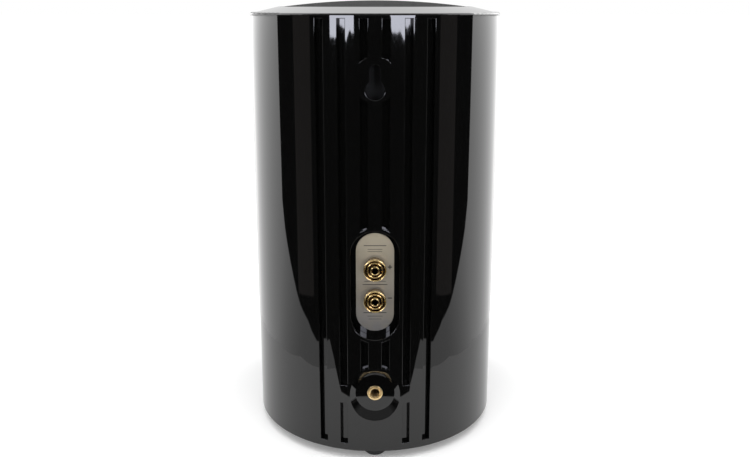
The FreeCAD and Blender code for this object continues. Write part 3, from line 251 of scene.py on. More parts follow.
def rubber(name):
    """Black rubber with a pale bloom in patches."""
    def build(place):
        grain = noise(place, 1500.0, detail=4.0)
        bloom = noise(place, 120.0, detail=3.0)
        return {
            "Base Color": blend_colours(bloom, grey(0.006), grey(0.02)),
            "Roughness": 0.55 + bloom * 0.25,
            "Normal": bump(grain, distance=0.00006, strength=0.5),
        }
    return material(name, {"Specular IOR Level": 0.35}, build)


def foam(name):
    """Closed-cell gasket foam: pinholes over a soft skin, with painted shade in the pinholes."""
    def build(place):
        cells = add_node(place.tree, "ShaderNodeTexVoronoi", inputs={
            "Vector": place, "Scale": 2200.0})
        # depth is 0 in each pinhole, and the colour goes darker there as painted shade
        depth = (cells * 2.5).clamped()
        return {
            "Base Color": blend_colours(depth, grey(0.0048), grey(0.0192)),
            "Roughness": 0.95 - depth * 0.1,
            "Normal": bump(depth, distance=0.0001, strength=0.6),
        }
    return material(name, {}, build)


def metal(name, colour, dull, rough, streaks, face_y=None):
    """Plated or turned metal, with fine streaks and a dull stain. Behind face_y it darkens to
    tarnish and painted shade.
    """
    def build(place):
        wear = noise(place, 260.0, detail=3.0)
        fine = noise(place, 2400.0)
        tone = blend_colours(wear.rise(0.5, 3.0) * 0.25, colour, dull)
        if face_y is not None:
            # Deeper than face_y: tarnish and painted shade of the hollows
            tone = blend_colours(split(place)[1].rise(face_y, -900.0) * 0.88, tone, TARNISH_AND_SHADE)
        return {
            "Base Color": tone,
            "Roughness": rough + wear * rough * 0.5 + fine * streaks,
            "Normal": bump(fine, distance=0.00001, strength=0.2 + streaks),
        }
    return material(name, {"Metallic": 1.0}, build)


def black_screw(name):
    """Blackened steel, worn to grey in places."""
    def build(place):
        wear = noise(place, 700.0, detail=3.0)
        return {
            "Base Color": blend_colours(wear.rise(0.6, 6.0), grey(0.02), grey(0.18)),
            "Roughness": 0.34 + wear * 0.2,
            "Normal": bump(wear, distance=0.00002, strength=0.4),
        }
    return material(name, {"Metallic": 0.85}, build)


def satin_plate(name):
    """Plate brushed across, with cloudy stains. Painted light: it is grey at the foot and yellower
    higher up.
    """
    low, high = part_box("label_plate")

    def build(place):
        x, y, z = split(place)
        brushing = noise(join(x * 60.0, y * 60.0, z * 4200.0), 1.0, detail=3.0)
        cloud = noise(place, 110.0, detail=3.0)
        # Painted light: grey at the foot, yellower towards the top, as if lit from above
        height = ((z - low.z) / (high.z - low.z)).clamped()
        tone = blend_colours(height, (0.2, 0.195, 0.195, 1), (0.55, 0.48, 0.34, 1))
        tone = blend_colours(cloud.rise(0.42, 2.6) * 0.6, tone, (0.34, 0.29, 0.2, 1))
        return {
            "Base Color": blend_colours(brushing * 0.25, tone, (0.5, 0.47, 0.42, 1)),
            "Roughness": 0.36 + brushing * 0.14,
            "Normal": bump(brushing, distance=0.00002, strength=0.35),
        }
    return material(name, {"Metallic": 0.72}, build)


def grille_fabric(name, tone, domed=False):
    """Black speaker cloth: open polyester weave with lighter thread crowns.

    On the dome the weave lies flat across, and painted shade darkens it where it turns over the
    edge.
    """
    pitch, painted_shade_zone = 0.0011, 0.0045

    def build(place):
        x, y, z = split(place)
        threads = weave_height(x, y if domed else z, pitch)
        fuzz = noise(place, 3200.0, detail=3.0)
        cast = noise(place, 40.0)
        share = (threads * 0.75 + fuzz * 0.4).clamped()
        if domed:
            # Painted shade: towards the dome's rim the yarn falls to its darkest tone, for the
            # shadow in the gap at its edge
            reach = (x * x + (y - AXIS_Y) * (y - AXIS_Y)) ** 0.5
            share = share * (1.0 - reach.rise(DOME_RADIUS - painted_shade_zone, 300.0))
        yarn = blend_colours(share, grey(tone * 0.3), grey(tone * 2.0))
        return {
            "Base Color": blend_colours(cast * share * 0.5, yarn, grey(tone * 1.6)),
            "Roughness": 0.82 + fuzz * 0.12,
            "Normal": bump(threads + fuzz * 0.25, distance=0.00022, strength=0.6),
        }
    return material(name, {"Sheen Weight": 0.02, "Sheen Roughness": 0.5,
                           "Specular IOR Level": 0.08}, build)


def painted_metal(name):
    """Black baked paint with a slight peel."""
    def build(place):
        peel = noise(place, 800.0)
        return {
            "Base Color": blend_colours(peel, grey(0.0128), grey(0.0224)),
            "Roughness": 0.38 + peel * 0.2,
            "Normal": bump(peel, distance=0.00005, strength=0.5),
        }
    return material(name, {"Metallic": 0.2}, build)


def ferrite(name):
    """Gritty dark ceramic magnet with paler chips."""
    def build(place):
        grit = noise(place, 1800.0, detail=5.0)
        chips = noise(place, 220.0, detail=3.0).rise(0.62, 8.0)
        return {
            "Base Color": blend_colours(chips, grey(0.035), grey(0.09)),
            "Roughness": 0.5 + grit * 0.3,
            "Normal": bump(grit, distance=0.00008, strength=0.7),
        }
    return material(name, {"Specular IOR Level": 0.6}, build)


def coil_former(name):
    """Amber polyimide film, wound in a fine lap."""
    def build(place):
        lap = (split(place)[1] * 9000.0).sine() * 0.5 + 0.5
        return {
            "Base Color": blend_colours(lap * 0.5, (0.32, 0.13, 0.02, 1), (0.45, 0.2, 0.04, 1)),
            "Roughness": 0.3 + lap * 0.1,
        }
    return material(name, {"Coat Weight": 0.3}, build)


def copper_wire(name):
    """Enamelled winding: each turn shows as a fine ridge."""
    def build(place):
        _, y, z = split(place)
        turns = ((y + z) * 14000.0).sine() * 0.5 + 0.5
        return {
            "Base Color": blend_colours(turns, (0.32, 0.09, 0.03, 1), (0.7, 0.25, 0.1, 1)),
            "Roughness": 0.24 + turns * 0.12,
            "Normal": bump(turns, distance=0.00008, strength=0.6),
        }
    return material(name, {"Metallic": 0.9}, build)


def cone_material(name):
    """Woven-look composite cone with a damping lacquer."""
    def build(place):
        x, _, z = split(place)
        threads = weave_height(x + z, x - z, 0.002)
        pulp = noise(place, 700.0, detail=4.0)
        return {
            "Base Color": blend_colours(threads * 0.7, grey(0.01), grey(0.045)),
            "Roughness": 0.35 + pulp * 0.25,
            "Normal": bump(threads + pulp * 0.3, distance=0.0001, strength=0.5),
        }
    return material(name, {"Coat Weight": 0.2, "Coat Roughness": 0.25}, build)


def spider_cloth(name):
    """Amber resin-stiffened weave."""
    def build(place):
        x, _, z = split(place)
        threads = weave_height(x, z, 0.0008)
        return {
            "Base Color": blend_colours(threads, (0.25, 0.11, 0.03, 1), (0.5, 0.27, 0.1, 1)),
            "Roughness": 0.8 + threads * 0.1,
            "Normal": bump(threads, distance=0.00012, strength=0.7),
        }
    return material(name, {}, build)


def dome_silk(name):
    """Very fine coated weave of the tweeter dome."""
    def build(place):
        x, _, z = split(place)
        threads = weave_height(x, z, 0.0004)
        return {
            "Base Color": blend_colours(threads, grey(0.006), grey(0.02)),
            "Roughness": 0.36 + threads * 0.15,
            "Normal": bump(threads, distance=0.00003, strength=0.5),
        }
    return material(name, {"Sheen Weight": 0.3}, build)


def circuit_board(name):
    """Green solder resist, with the copper tracks under it as a brick pattern."""
    def build(place):
        x, y, _ = split(place)
        tracks = add_node(place.tree, "ShaderNodeTexBrick", {"offset": 0.35}, {
            "Vector": join(x, y, 0.0), "Scale": 90.0, "Mortar Size": 0.03}, "Fac")
        weave = noise(place, 1300.0, detail=3.0)
        tone = blend_colours(weave * 0.4, (0.006, 0.06, 0.02, 1), (0.01, 0.1, 0.035, 1))
        return {
            "Base Color": blend_colours(tracks, tone, (0.03, 0.2, 0.07, 1)),
            "Roughness": 0.28 + weave * 0.12,
            "Normal": bump(tracks, distance=0.00005, strength=0.5),
        }
    return material(name, {"Coat Weight": 0.4}, build)


def capacitor_film(name):
    """Yellow wrap with thin dark bands."""
    def build(place):
        bands = (split(place)[0] * 400.0).sine().rise(0.93, 12.0)
        fine = noise(place, 500.0)
        tone = blend_colours(fine * 0.4, (0.45, 0.3, 0.03, 1), (0.6, 0.42, 0.07, 1))
        return {
            "Base Color": blend_colours(bands, tone, grey(0.03)),
            "Roughness": 0.25 + fine * 0.15,
        }
    return material(name, {"Coat Weight": 0.5}, build)


def resistor_ceramic(name):
    """Chalky white ceramic."""
    def build(place):
        chalk = noise(place, 1500.0, detail=5.0)
        return {
            "Base Color": blend_colours(chalk, (0.5, 0.49, 0.45, 1), (0.72, 0.7, 0.64, 1)),
            "Roughness": 0.75 + chalk * 0.2,
            "Normal": bump(chalk, distance=0.0001, strength=0.6),
        }
    return material(name, {}, build)


def polyester_wool(name):
    """Loose white fibre, with painted shade as darker patches for its folds."""
    def build(place):
        x, y, z = split(place)
        fibres = noise(join(x * 0.3, y, z * 2.5), 900.0, detail=6.0, roughness=0.7)
        lumps = noise(place, 70.0, detail=3.0)
        return {
            # Painted shade: fibre and lump noise darken the white, for shade in the folds
            "Base Color": blend_colours(fibres * 0.6 + lumps * 0.4,
                                        (0.38, 0.37, 0.35, 1), (0.86, 0.85, 0.82, 1)),
            "Roughness": 0.9 + fibres * 0.1,
            "Normal": bump(fibres + lumps, distance=0.0006, strength=0.8),
        }
    return material(name, {"Sheen Weight": 0.6}, build)


def lead_insulation(name):
    """Red lead on one side of the pair, black on the other."""
    def build(place):
        scuffs = noise(place, 900.0, detail=3.0)
        red = blend_colours(scuffs * 0.5, (0.36, 0.012, 0.01, 1), (0.5, 0.03, 0.02, 1))
        return {
            "Base Color": blend_colours(split(place)[0].above(0.006), grey(0.012), red),
            "Roughness": 0.35 + scuffs * 0.2,
        }
    return material(name, {"Coat Weight": 0.15}, build)


FINISHES = {
    "gloss_black_plastic": gloss_black("piano_gloss_black"),
    "inner_plastic": moulded_plastic("grained_black_plastic", tone=0.004, texture=0.00004),
    "black_rubber": rubber("foot_rubber"),
    "black_foam": foam("gasket_foam"),
    "black_screws": black_screw("blackened_steel"),
    "insert_brass": metal("turned_brass", BRASS, DULL_BRASS, rough=0.2, streaks=0.05),
    "satin_plate": satin_plate("brushed_plate"),
    "gold_plate": metal("gold_plating", GOLD, DULL_GOLD, rough=0.14, streaks=0.03),
    "zinc_steel": metal("zinc_plated_steel", ZINC, DULL_ZINC, rough=0.3, streaks=0.05),
    "grille_cloth": grille_fabric("grille_weave", tone=0.03),
    "painted_basket": painted_metal("basket_paint"),
    "ferrite": ferrite("ferrite_magnet"),
    "coil_former": coil_former("former_film"),
    "copper_wire": copper_wire("copper_winding"),
    "cone_material": cone_material("woofer_cone_weave"),
    "spider_cloth": spider_cloth("spider_weave"),
    "dome_silk": dome_silk("dome_silk_weave"),
    "circuit_board": circuit_board("board_resist"),
    "capacitor_film": capacitor_film("capacitor_wrap"),
    "resistor_ceramic": resistor_ceramic("resistor_body"),
    "polyester_wool": polyester_wool("wool_fibre"),
    "lead_insulation": lead_insulation("lead_sleeve"),
}


def finish_nodes():
    """Gives every CAD node the finish of its slot."""
    for part in frame["record"]["subparts"]:
        for spot in frame["nodes"][part["node"]].material_slots:
            spot.material = FINISHES[part["material_slot"]]


# Mesh tools -----------------------------------------------------------------------------------

def filled_mesh(name, build):
    mesh = bpy.data.meshes.new(name)
    bm = bmesh.new()
    build(bm)
    bm.to_mesh(mesh)
    bm.free()
    return mesh


def solid_mesh(name, build, smooth=True):
    """A mesh filled by build(bm), with its faces turned outwards."""
    def facing_out(bm):
        build(bm)
        bmesh.ops.recalc_face_normals(bm, faces=bm.faces)
    mesh = filled_mesh(name, facing_out)
    if smooth:
        mesh.shade_smooth()
        mesh.set_sharp_from_angle(angle=SHARP_ANGLE)
    return mesh


def shown(name, mesh, finish):
    made = bpy.data.objects.new(name, mesh)
    bpy.context.scene.collection.objects.link(made)
    mesh.materials.append(finish)
    return made


def new_piece(name, mesh, finish, body):
    piece = shown(name, mesh, finish)
    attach(piece, body)
    return piece


def middle_of(node):
    low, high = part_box(node)
    return (low + high) / 2


def evenly(start, end, steps):
    return [start + (end - start) * i / steps for i in range(steps + 1)]


def arc(centre, radius, start, end, steps):
    """Points on an arc about centre, from angle start to end in degrees."""
    return [(centre[0] + radius * math.cos(math.radians(angle)),
             centre[1] + radius * math.sin(math.radians(angle)))
            for angle in evenly(start, end, steps)]


def lathe(bm, profile, steps, centre=(0.0, 0.0, 0.0), closed=False):
    """Turns (radius, height) points about Z and gives the rows. Radius 0 makes a single point."""
    rows = []
    for radius, height in profile:
        if radius == 0:
            rows.append([bm.verts.new((centre[0], centre[1], centre[2] + height))])
            continue
        turns = [2 * math.pi * i / steps for i in range(steps)]
        rows.append([bm.verts.new((centre[0] + radius * math.cos(turn),
                                   centre[1] + radius * math.sin(turn),
                                   centre[2] + height)) for turn in turns])
    pairs = list(zip(rows, rows[1:])) + ([(rows[-1], rows[0])] if closed else [])
    for low, high in pairs:
        for i in range(steps):
            following = (i + 1) % steps
            corners = [low[i % len(low)], low[following % len(low)],
                       high[following % len(high)], high[i % len(high)]]
            bm.faces.new(list(dict.fromkeys(corners)))
    return rows


def pull_in(rows, radius, dip):
    """Moves points towards the Z axis. A point at this radius moves by dip(turn, height)."""
    for row in rows:
        for vert in row:
            vert.co.xy *= 1 - dip(math.atan2(vert.co.y, vert.co.x), vert.co.z) / radius


def thread(pitch, depth):
    """A dip for pull_in that cuts a screw thread."""
    steepness, flat = 1.6, 0.3

    def dip(turn, height):
        phase = (height / pitch - turn / (2 * math.pi)) % 1.0
        return depth * max(0.0, min(1.0, steepness * (1 - abs(2 * phase - 1)) - flat))
    return dip


def turned_piece(name, build, spot, finish, body="cabinet"):
    """A piece built about local Z, turned so that this axis points out of the back at spot."""
    def turned(bm):
        build(bm)
        bmesh.ops.transform(bm, matrix=Matrix.Rotation(math.radians(-90), 4, "X"), verts=bm.verts)
        bmesh.ops.translate(bm, vec=spot, verts=bm.verts)
    return new_piece(name, solid_mesh(name, turned), finish, body)


# Grille cloths --------------------------------------------------------------------------------

def thicken(cloth):
    """Gives a single layer of cloth its thickness, inwards. Returns the area of the layer."""
    area = sum(face.area for face in cloth.data.polygons)
    shell = cloth.modifiers.new("thickness", "SOLIDIFY")
    shell.thickness = CLOTH_THICKNESS
    shell.offset = -1.0
    graph = bpy.context.evaluated_depsgraph_get()
    final = bpy.data.meshes.new_from_object(cloth.evaluated_get(graph))
    cloth.modifiers.clear()
    cloth.data = final
    return area


def top_cloth():
    """Cloth over the domed top grille: one round cut, drawn over the edge and down its side."""
    edge_below_ridge, edge_round, steps = 0.0004, 0.0012, 144
    rise = DOME_HIGH.z - RIDGE_Z + edge_below_ridge
    sphere = (DOME_RADIUS ** 2 + rise ** 2) / (2 * rise)
    reach = DOME_RADIUS - edge_round
    profile = [(across, DOME_HIGH.z - sphere + math.sqrt(sphere ** 2 - across ** 2))
               for across in evenly(0.0, reach, 40)]
    shoulder = profile[-1][1] - edge_round
    profile += arc((reach, shoulder), edge_round, 70, 0, 4)
    profile += [(DOME_RADIUS, shoulder + (DOME_LOW.z - shoulder) * share)
                for share in (0.33, 0.66, 1.0)]
    mesh = solid_mesh("top_cloth", lambda bm: lathe(bm, profile, steps, (0.0, AXIS_Y, 0.0)))
    weave = grille_fabric("top_grille_weave", tone=0.018, domed=True)
    cloth = new_piece("top_grille_fabric", mesh, weave, "top_grille")
    area = thicken(cloth)
    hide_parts("top_grille_cloth")


def front_cloth():
    """Cloth over the bowed front grille: one oblong cut, turned round all four edges."""
    low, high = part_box("front_grille_cloth")
    half, bow, edge_round, back_edge = high.x, 0.0175, 0.0022, 0.0005
    least_turn = math.radians(30)
    radius = (half ** 2 + bow ** 2) / (2 * bow)
    centre_y = low.y + radius
    reach = math.asin(half / radius)

    def build(bm):
        outline = [(radius * math.sin(turn), centre_y - radius * math.cos(turn))
                   for turn in evenly(-reach, reach, 48)]
        outline = [(-half, high.y)] + outline + [(half, high.y)]
        rows = [[bm.verts.new((x, y, z)) for x, y in outline] for z in evenly(low.z, high.z, 60)]
        for below, above in zip(rows, rows[1:]):
            for i in range(len(outline) - 1):
                bm.faces.new((below[i], below[i + 1], above[i + 1], above[i]))
        for row in (rows[0], rows[-1]):
            bm.faces.new(row)
        bm.verts.ensure_lookup_table()
        corners = [edge for edge in bm.edges if len(edge.link_faces) == 2
                   and edge.calc_face_angle(0.0) > least_turn
                   and min(vert.co.y for vert in edge.verts) < high.y - back_edge]
        bmesh.ops.bevel(bm, geom=corners, offset=edge_round, segments=4, profile=0.5,
                        affect="EDGES")

    cloth = new_piece("front_grille_fabric", solid_mesh("front_cloth", build),
                      FINISHES["grille_cloth"], "front_grille")
    area = thicken(cloth)
    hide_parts("front_grille_cloth")


# Damping wool ---------------------------------------------------------------------------------

def damping_wool():
    """A crowned, lumpy block of fibre where the cabinet holds it."""
    low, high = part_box("damping_wool")
    middle, half = (low + high) / 2, (high - low) / 2
    crown, front_crown = 0.12, 0.22
    shrink, lump_height, lump_spacing = 0.95, 0.06, 2.6

    def build(bm):
        bmesh.ops.create_cube(bm, size=2.0)
        bmesh.ops.subdivide_edges(bm, edges=bm.edges, cuts=15, use_grid_fill=True)
        for vert in bm.verts:
            spot = vert.co.copy()
            for axis in range(3):
                across, along = (spot[other] for other in range(3) if other != axis)
                vert.co[axis] = spot[axis] * (1 - crown * (across ** 2 + along ** 2))
            if spot.y > 0:
                vert.co.y *= 1 - front_crown * spot.x ** 2
            lump = smooth_noise.fractal(spot * lump_spacing, 1.0, 2.0, 4)
            vert.co *= shrink + lump_height * lump
            vert.co = vert.co * half + middle

    wool = new_piece("damping_wool_pad", solid_mesh("wool_block", build),
                     FINISHES["polyester_wool"], "cabinet")
    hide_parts("damping_wool")


# Terminals ------------------------------------------------------------------------------------

def post_cap(name, body, finish, spot, foot, face, radius):
    """Fluted cap from foot to face: rolled edge, sunk floor and one raised ring round the stud."""
    clearance, roll, bevel, rub, lead_in = 0.00008, 0.00045, 0.0004, 0.0001, 0.0003
    bore = STUD_RADIUS + clearance
    ring_radius, ring_round, ring_sunk = 0.0043, 0.00045, 0.0004
    floor_depth, flutes, flute_depth, steps = 0.0026, 24, 0.0004, 144
    floor = face - floor_depth
    profile = [(bore, foot), (radius - bevel, foot), (radius - rub, foot + lead_in)]
    fluted_from = len(profile)
    profile += [(radius, height) for height in evenly(foot + 2 * lead_in, face - roll, 4)]
    fluted_to = len(profile) + 1
    profile += arc((radius - roll, face - roll), roll, 15, 165, 10)
    profile += [(radius - 2 * roll, floor), (ring_radius + ring_round, floor)]
    profile += arc((ring_radius, face - ring_sunk - ring_round), ring_round, 0, 180, 10)
    profile += [(ring_radius - ring_round, floor), (bore, floor)]

    def build(bm):
        rows = lathe(bm, profile, steps, closed=True)
        pull_in(rows[fluted_from:fluted_to], radius,
                lambda turn, height: flute_depth * max(0.0, math.cos(turn * flutes)) ** 2)
    return turned_piece(name, build, spot, finish, body)


def post_stud(name, finish, spot, collar, tail, seat, tip):
    """Threaded stud with a collar and a banana bore. Its tip is rolled over."""
    radius, bore, bore_depth, drill_point = STUD_RADIUS, BANANA_RADIUS, 0.006, 0.0008
    collar_bevel, crown, mouth_round, plain_end = 0.0002, 0.00028, 0.0002, 0.0009
    below_collar = 0.0005
    profile = [(0.0, -tail), (radius, -tail), (radius, -below_collar), (radius, 0.0),
               (collar - collar_bevel, 0.0), (collar, collar_bevel),
               (collar, seat - collar_bevel), (collar - collar_bevel, seat), (radius, seat)]
    threaded_from = len(profile)
    profile += [(radius, height) for height in evenly(seat + collar_bevel, tip - plain_end, 60)]
    threaded_to = len(profile)
    profile += arc((radius - crown, tip - crown), crown, 0, 90, 4)
    profile += arc((bore + mouth_round, tip - mouth_round), mouth_round, 90, 180, 3)
    profile += [(bore, -bore_depth), (0.0, -bore_depth - drill_point)]

    def build(bm):
        rows = lathe(bm, profile, 72)
        pull_in(rows[threaded_from:threaded_to], radius, thread(pitch=0.0008, depth=0.0003))
    return turned_piece(name, build, spot, finish)


def binding_posts():
    """Two posts. Each stud stands in the plate and carries its clamp and its cap."""
    studs_low, studs_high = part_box("post_studs")
    plate_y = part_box("label_plate")[0].y
    bright_depth, collar_gap = 0.0011, 0.00005
    # Below bright_depth the gold darkens: tarnish and painted shade in the grooves and knurl
    gold = metal("post_gold", GOLD, DULL_GOLD, rough=0.13, streaks=0.03,
                 face_y=BACK_Y - bright_depth)
    for level in ("upper", "lower"):
        low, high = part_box("post_cap_" + level)
        clamp_low, clamp_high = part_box("post_clamp_" + level)
        middle = (low + high) / 2
        spot = Vector((0.0, plate_y, middle.z))
        cap = post_cap("post_cap_%s_turned" % level, "cap_" + level, gold, spot,
                       foot=low.y - plate_y, face=high.y - plate_y, radius=high.z - middle.z)
        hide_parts("post_cap_" + level)
        stud = post_stud("post_stud_%s_turned" % level, gold, spot, collar=clamp_high.x,
                         tail=plate_y - studs_low.y, seat=clamp_low.y - plate_y - collar_gap,
                         tip=studs_high.y - plate_y)
        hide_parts("post_studs")


def threaded_insert():
    """Knurled brass insert with a coarse inside thread and a countersunk mouth."""
    low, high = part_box("threaded_insert")
    radius, length = high.x, high.y - low.y
    root, crest, countersink, rim, mouth_step = 0.0031, 0.00255, 0.0004, 0.0003, 0.0001
    ridges, knurl_depth, bright_depth = 36, 0.00015, 0.0004
    profile = [(root, 0.0), (radius, 0.0)]
    profile += [(radius, height) for height in evenly(0.0004, length - rim, 12)]
    knurled_from, knurled_to = 3, len(profile) - 2
    profile += arc((radius - rim, length - rim), rim, 30, 90, 3)
    profile += [(root + countersink, length), (root + mouth_step, length - countersink)]
    threaded_from = len(profile)
    profile += [(root, height) for height in evenly(length - countersink * 1.5, rim, 80)]

    def build(bm):
        rows = lathe(bm, profile, 72, closed=True)
        pull_in(rows[threaded_from:], root, thread(pitch=0.00127, depth=root - crest))
        pull_in(rows[knurled_from:knurled_to], radius,
                lambda turn, height: knurl_depth * (1 + math.cos(ridges * turn)))
    # Below bright_depth the bore darkens: tarnish and painted shade
    brass = metal("insert_face_brass", BRASS, DULL_BRASS, rough=0.2, streaks=0.05,
                  face_y=high.y - bright_depth)
    spot = Vector((0.0, low.y, (low.z + high.z) / 2))
    piece = turned_piece("insert_turned", build, spot, brass)
    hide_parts("threaded_insert")


def label_marks():
    """Printed plus and minus signs, and plain rules, on the terminal plate."""
    low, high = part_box("label_plate")
    middle = (low.z + high.z) / 2
    upper, lower = middle_of("post_cap_upper").z, middle_of("post_cap_lower").z
    side, stroke, arm, film = -0.0087, 0.0006, 0.0026, 0.00003
    heavy, light = 0.0004, 0.00025
    bars = [(side, upper, arm, stroke), (side, upper, stroke, arm), (side, lower, arm, stroke)]
    bars += [(0.0, middle + height, width, thick) for height, width, thick in (
        (0.0225, 0.013, heavy), (0.0203, 0.0085, light), (0.0189, 0.0085, light),
        (0.0008, 0.0125, light), (-0.0012, 0.0145, heavy),
        (-0.0186, 0.0135, heavy), (-0.0208, 0.009, light), (-0.0226, 0.0075, light))]

    def build(bm):
        for x, z, width, height in bars:
            place = Matrix.Translation((x, high.y + film / 2, z))
            shape = Matrix.Diagonal((width, film, height, 1.0))
            bmesh.ops.create_cube(bm, size=1.0, matrix=place @ shape)
    ink = moulded_plastic("printing_ink", tone=0.02, texture=0.00006)
    new_piece("label_print", solid_mesh("label_print", build, smooth=False), ink,
              "cabinet")


# Studio ---------------------------------------------------------------------------------------

def floor_paper(name):
    """White paper that also shines a little, so that it shows as even white."""
    tone = 0.9

    def build(place):
        return {"Base Color": blend_colours(noise(place, 3.0), grey(tone * 0.985), grey(tone))}
    return material(name, {"Roughness": 0.9, "Specular IOR Level": 0.0,
                           "Emission Color": grey(1.0), "Emission Strength": 0.14}, build)


def glow(name, colour, strength):
    made = bpy.data.materials.new(name)
    tree = emptied_tree(made)
    light = add_node(tree, "ShaderNodeEmission", inputs={"Color": colour, "Strength": strength})
    add_node(tree, "ShaderNodeOutputMaterial", inputs=[light])
    return made


def straight_ahead(facing):
    """1 in a narrow sector on the far side of the speaker, in line with the camera."""
    return facing.rise(-0.93, -25.0)


def far_floor_glow(name):
    """Floor light that grows with the distance from the speaker, as under a bright back wall."""
    near_level, growth = 1.4, 0.34
    camera_side_loss, ahead_loss = 0.36, 0.6

    def build(place):
        x, y, _ = split(place)
        distance = (x * x + y * y) ** 0.5
        level = near_level + (distance * (1 / FAR_FLOOR_START)).most(1.0).log() * growth
        level = level * (1.0 - (y * 2.0 / distance).clamped() * camera_side_loss)
        beside = (x.size() - SHELL_RADIUS).most(0.0)
        facing = y / ((beside * beside + y * y) ** 0.5).most(0.001)
        level = level * (1.0 - straight_ahead(facing) * ahead_loss)
        return {"Emission Color": join(level, level, level)}
    return material(name, {"Emission Strength": 1.0, "Specular IOR Level": 0.0,
                           "Base Color": grey(0.0)}, build)


def card(name, corners, finish):
    """A flat studio card that only reflections see."""
    mesh = filled_mesh(name, lambda bm: bm.faces.new([bm.verts.new(corner) for corner in corners]))
    made = shown(name, mesh, finish)
    made.visible_camera = made.visible_diffuse = made.visible_shadow = False
    made.visible_transmission = made.visible_volume_scatter = False


def round_point(angle, distance, height, start=(0.0, 0.0)):
    """A point this far from start, at an angle in degrees from +Y towards +X."""
    turn = math.radians(angle)
    return (start[0] + distance * math.sin(turn), start[1] + distance * math.cos(turn), height)


def window_with_trees(name, first, second, finish):
    """A window card between two angles. Its lower edge follows the tops of trees outside."""
    near, distance, low, high, steps = (0.0, BACK_Y), 1.2, 0.214, 0.46, 60
    shape = random.Random(name)
    crowns = [(shape.uniform(0, steps), shape.uniform(3.0, 9.0), shape.uniform(0.004, 0.015))
              for tree in range(12)]
    outline = []
    for step, angle in enumerate(evenly(first, second, steps)):
        top = max(tall * math.sqrt(max(0.0, 1 - ((step - middle) / wide) ** 2))
                  for middle, wide, tall in crowns)
        leaves = shape.uniform(0.0, 0.0015)
        outline.append(round_point(angle, distance, low + top + leaves, near))
    card(name, outline + [round_point(angle, distance, high, near) for angle in (second, first)],
         finish)


def white_floor():
    mesh = filled_mesh("floor", lambda bm: bmesh.ops.create_grid(
        bm, x_segments=1, y_segments=1, size=FLOOR_REACH))
    shown("floor", mesh, floor_paper("floor_paper"))


def dark_floor():
    """Black on the camera's side. Its near edge slants as the shade of the room does."""
    edge = [(0.0, 0.072), (0.066, 0.068), (0.11, 0.1), (0.145, 0.12), (0.175, 0.08), (0.23, 0.07),
            (0.28, 0.045), (0.386, 0.01), (0.54, -0.05), (0.69, -0.095), (1.9, -0.25),
            (FLOOR_REACH, -2.5)]
    edge = [(across, BACK_Y + behind) for across, behind in edge]
    black = glow("studio_dark", grey(0.0), 0.0)
    for sign in (-1, 1):
        for i, ((inner, inner_y), (outer, outer_y)) in enumerate(zip(edge, edge[1:])):
            card("dark_floor_%d_%d" % (sign, i),
                 [(sign * inner, inner_y, DARK_FLOOR_Z), (sign * outer, outer_y, DARK_FLOOR_Z),
                  (sign * outer, FLOOR_REACH, DARK_FLOOR_Z),
                  (sign * inner, FLOOR_REACH, DARK_FLOOR_Z)], black)


def far_floor():
    """A wheel of cards. The dark floor covers it on the camera's side."""
    shine = far_floor_glow("far_floor_light")
    sector = 360 // FAR_FLOOR_CARDS
    for i in range(FAR_FLOOR_CARDS):
        first, second = i * sector, (i + 1) * sector
        card("far_floor_%d" % i, [
            round_point(angle, distance, FAR_FLOOR_Z) for angle, distance in (
                (first, FAR_FLOOR_START), (first, FLOOR_REACH),
                (second, FLOOR_REACH), (second, FAR_FLOOR_START))], shine)


def windows():
    light = glow("window_light", (0.86, 0.88, 1.0, 1.0), 14.0)
    for name, first, second in (("left", 19.0, 41.0), ("right", -36.5, -14.0)):
        window_with_trees("window_" + name, first, second, light)


def side_strips():
    """Two faint upright strips that draw a line down each side of the round back."""
    light = glow("side_strip_light", (1.0, 0.9, 0.86, 1.0), 0.16)
    distance, foot, head = 0.27, 0.001, 0.35
    inner = round_point(60.0, distance, 0.0, (0.036, 0.075))
    outer = round_point(77.5, distance, 0.0, (0.0455, 0.069))
    for sign in (-1, 1):
        card("side_strip_%d" % sign, [
            (sign * x, y, z) for (x, y, _), z in (
                (inner, foot), (outer, foot), (outer, head), (inner, head))], light)


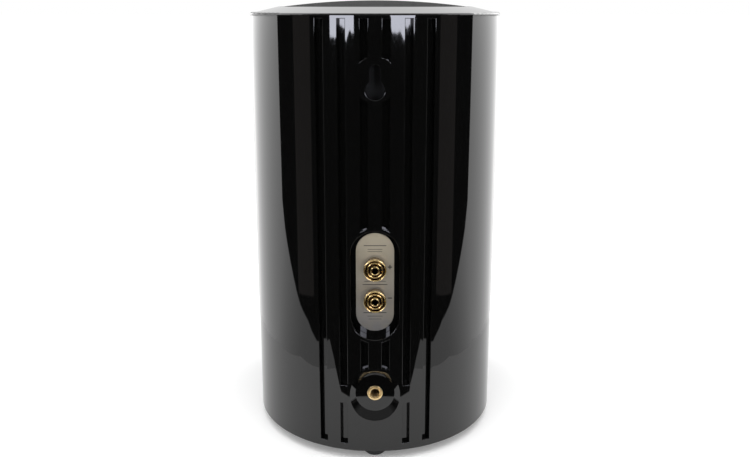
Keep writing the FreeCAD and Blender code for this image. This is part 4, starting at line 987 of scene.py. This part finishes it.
def surroundings():
    """The room. The eye and matt surfaces get even white.

    Reflections get a dim wall on the camera's side, a bright one on the far side that is
    weaker straight ahead, and a bright ceiling.
    """
    world = bpy.data.worlds.new("studio_air")
    bpy.context.scene.world = world
    world.cycles.sampling_method = "NONE"
    tree = emptied_tree(world)
    seen = add_node(tree, "ShaderNodeLightPath", output="Is Camera Ray")
    glossy = seen.sibling("Is Glossy Ray")
    x, y, z = split(add_node(tree, "ShaderNodeTexCoord", output="Generated"))
    facing = y / ((x * x + y * y) ** 0.5).most(0.001)
    ceiling, matt = 2.0, 1.13
    limit = z.rise(0.05, 6.0) * 0.5 - 0.125
    far_side = facing.rise(limit, -60.0)
    bright_wall = 2.6 - straight_ahead(facing) * (1.85 - z.most(0.0) * 2.2)
    dim_wall = 0.004 + z.rise(0.1, 3.5) * 0.32
    wall = dim_wall + far_side * (bright_wall - dim_wall)
    mirrored = wall + z.rise(0.85, 8.0) * (ceiling - wall)
    strength = seen + (1 - seen) * (glossy * mirrored + (1 - glossy) * matt)
    sky = add_node(tree, "ShaderNodeBackground", inputs={"Color": grey(1.0), "Strength": strength})
    add_node(tree, "ShaderNodeOutputWorld", inputs=[sky])


def soft_light():
    """A soft box for matt surfaces, which reflections don't show."""
    data = bpy.data.lights.new("top_soft_box", "AREA")
    data.shape = "RECTANGLE"
    data.size = data.size_y = 1.2
    data.energy = 6.0
    lamp = bpy.data.objects.new("top_soft_box", data)
    spot, aim = Vector((0.0, 0.3, 1.2)), Vector((0.0, 0.0, 0.15))
    lamp.location = spot
    lamp.rotation_euler = (aim - spot).to_track_quat("-Z", "Y").to_euler()
    lamp.visible_glossy = False
    bpy.context.scene.collection.objects.link(lamp)


def camera():
    """Behind the back, a little above the middle, looking down."""
    distance, height, pitch_down = 0.5107, 0.263, 12.677
    data = bpy.data.cameras.new("camera")
    data.sensor_width = 36.0
    data.lens = 38.22
    data.shift_y = -0.06
    seat = bpy.data.objects.new("camera", data)
    seat.location = (0.0, AXIS_Y + distance, SHELL_LOW.z + height)
    seat.rotation_euler = (math.radians(90 - pitch_down), 0.0, math.radians(180))
    bpy.context.scene.collection.objects.link(seat)
    bpy.context.scene.camera = seat
    bpy.context.scene.view_settings.view_transform = "Standard"


# The speaker in its studio --------------------------------------------------------------------

finish_nodes()
top_cloth()
front_cloth()
damping_wool()
binding_posts()
threaded_insert()
label_marks()
white_floor()
dark_floor()
far_floor()
windows()
side_strips()
surroundings()
soft_light()
camera()
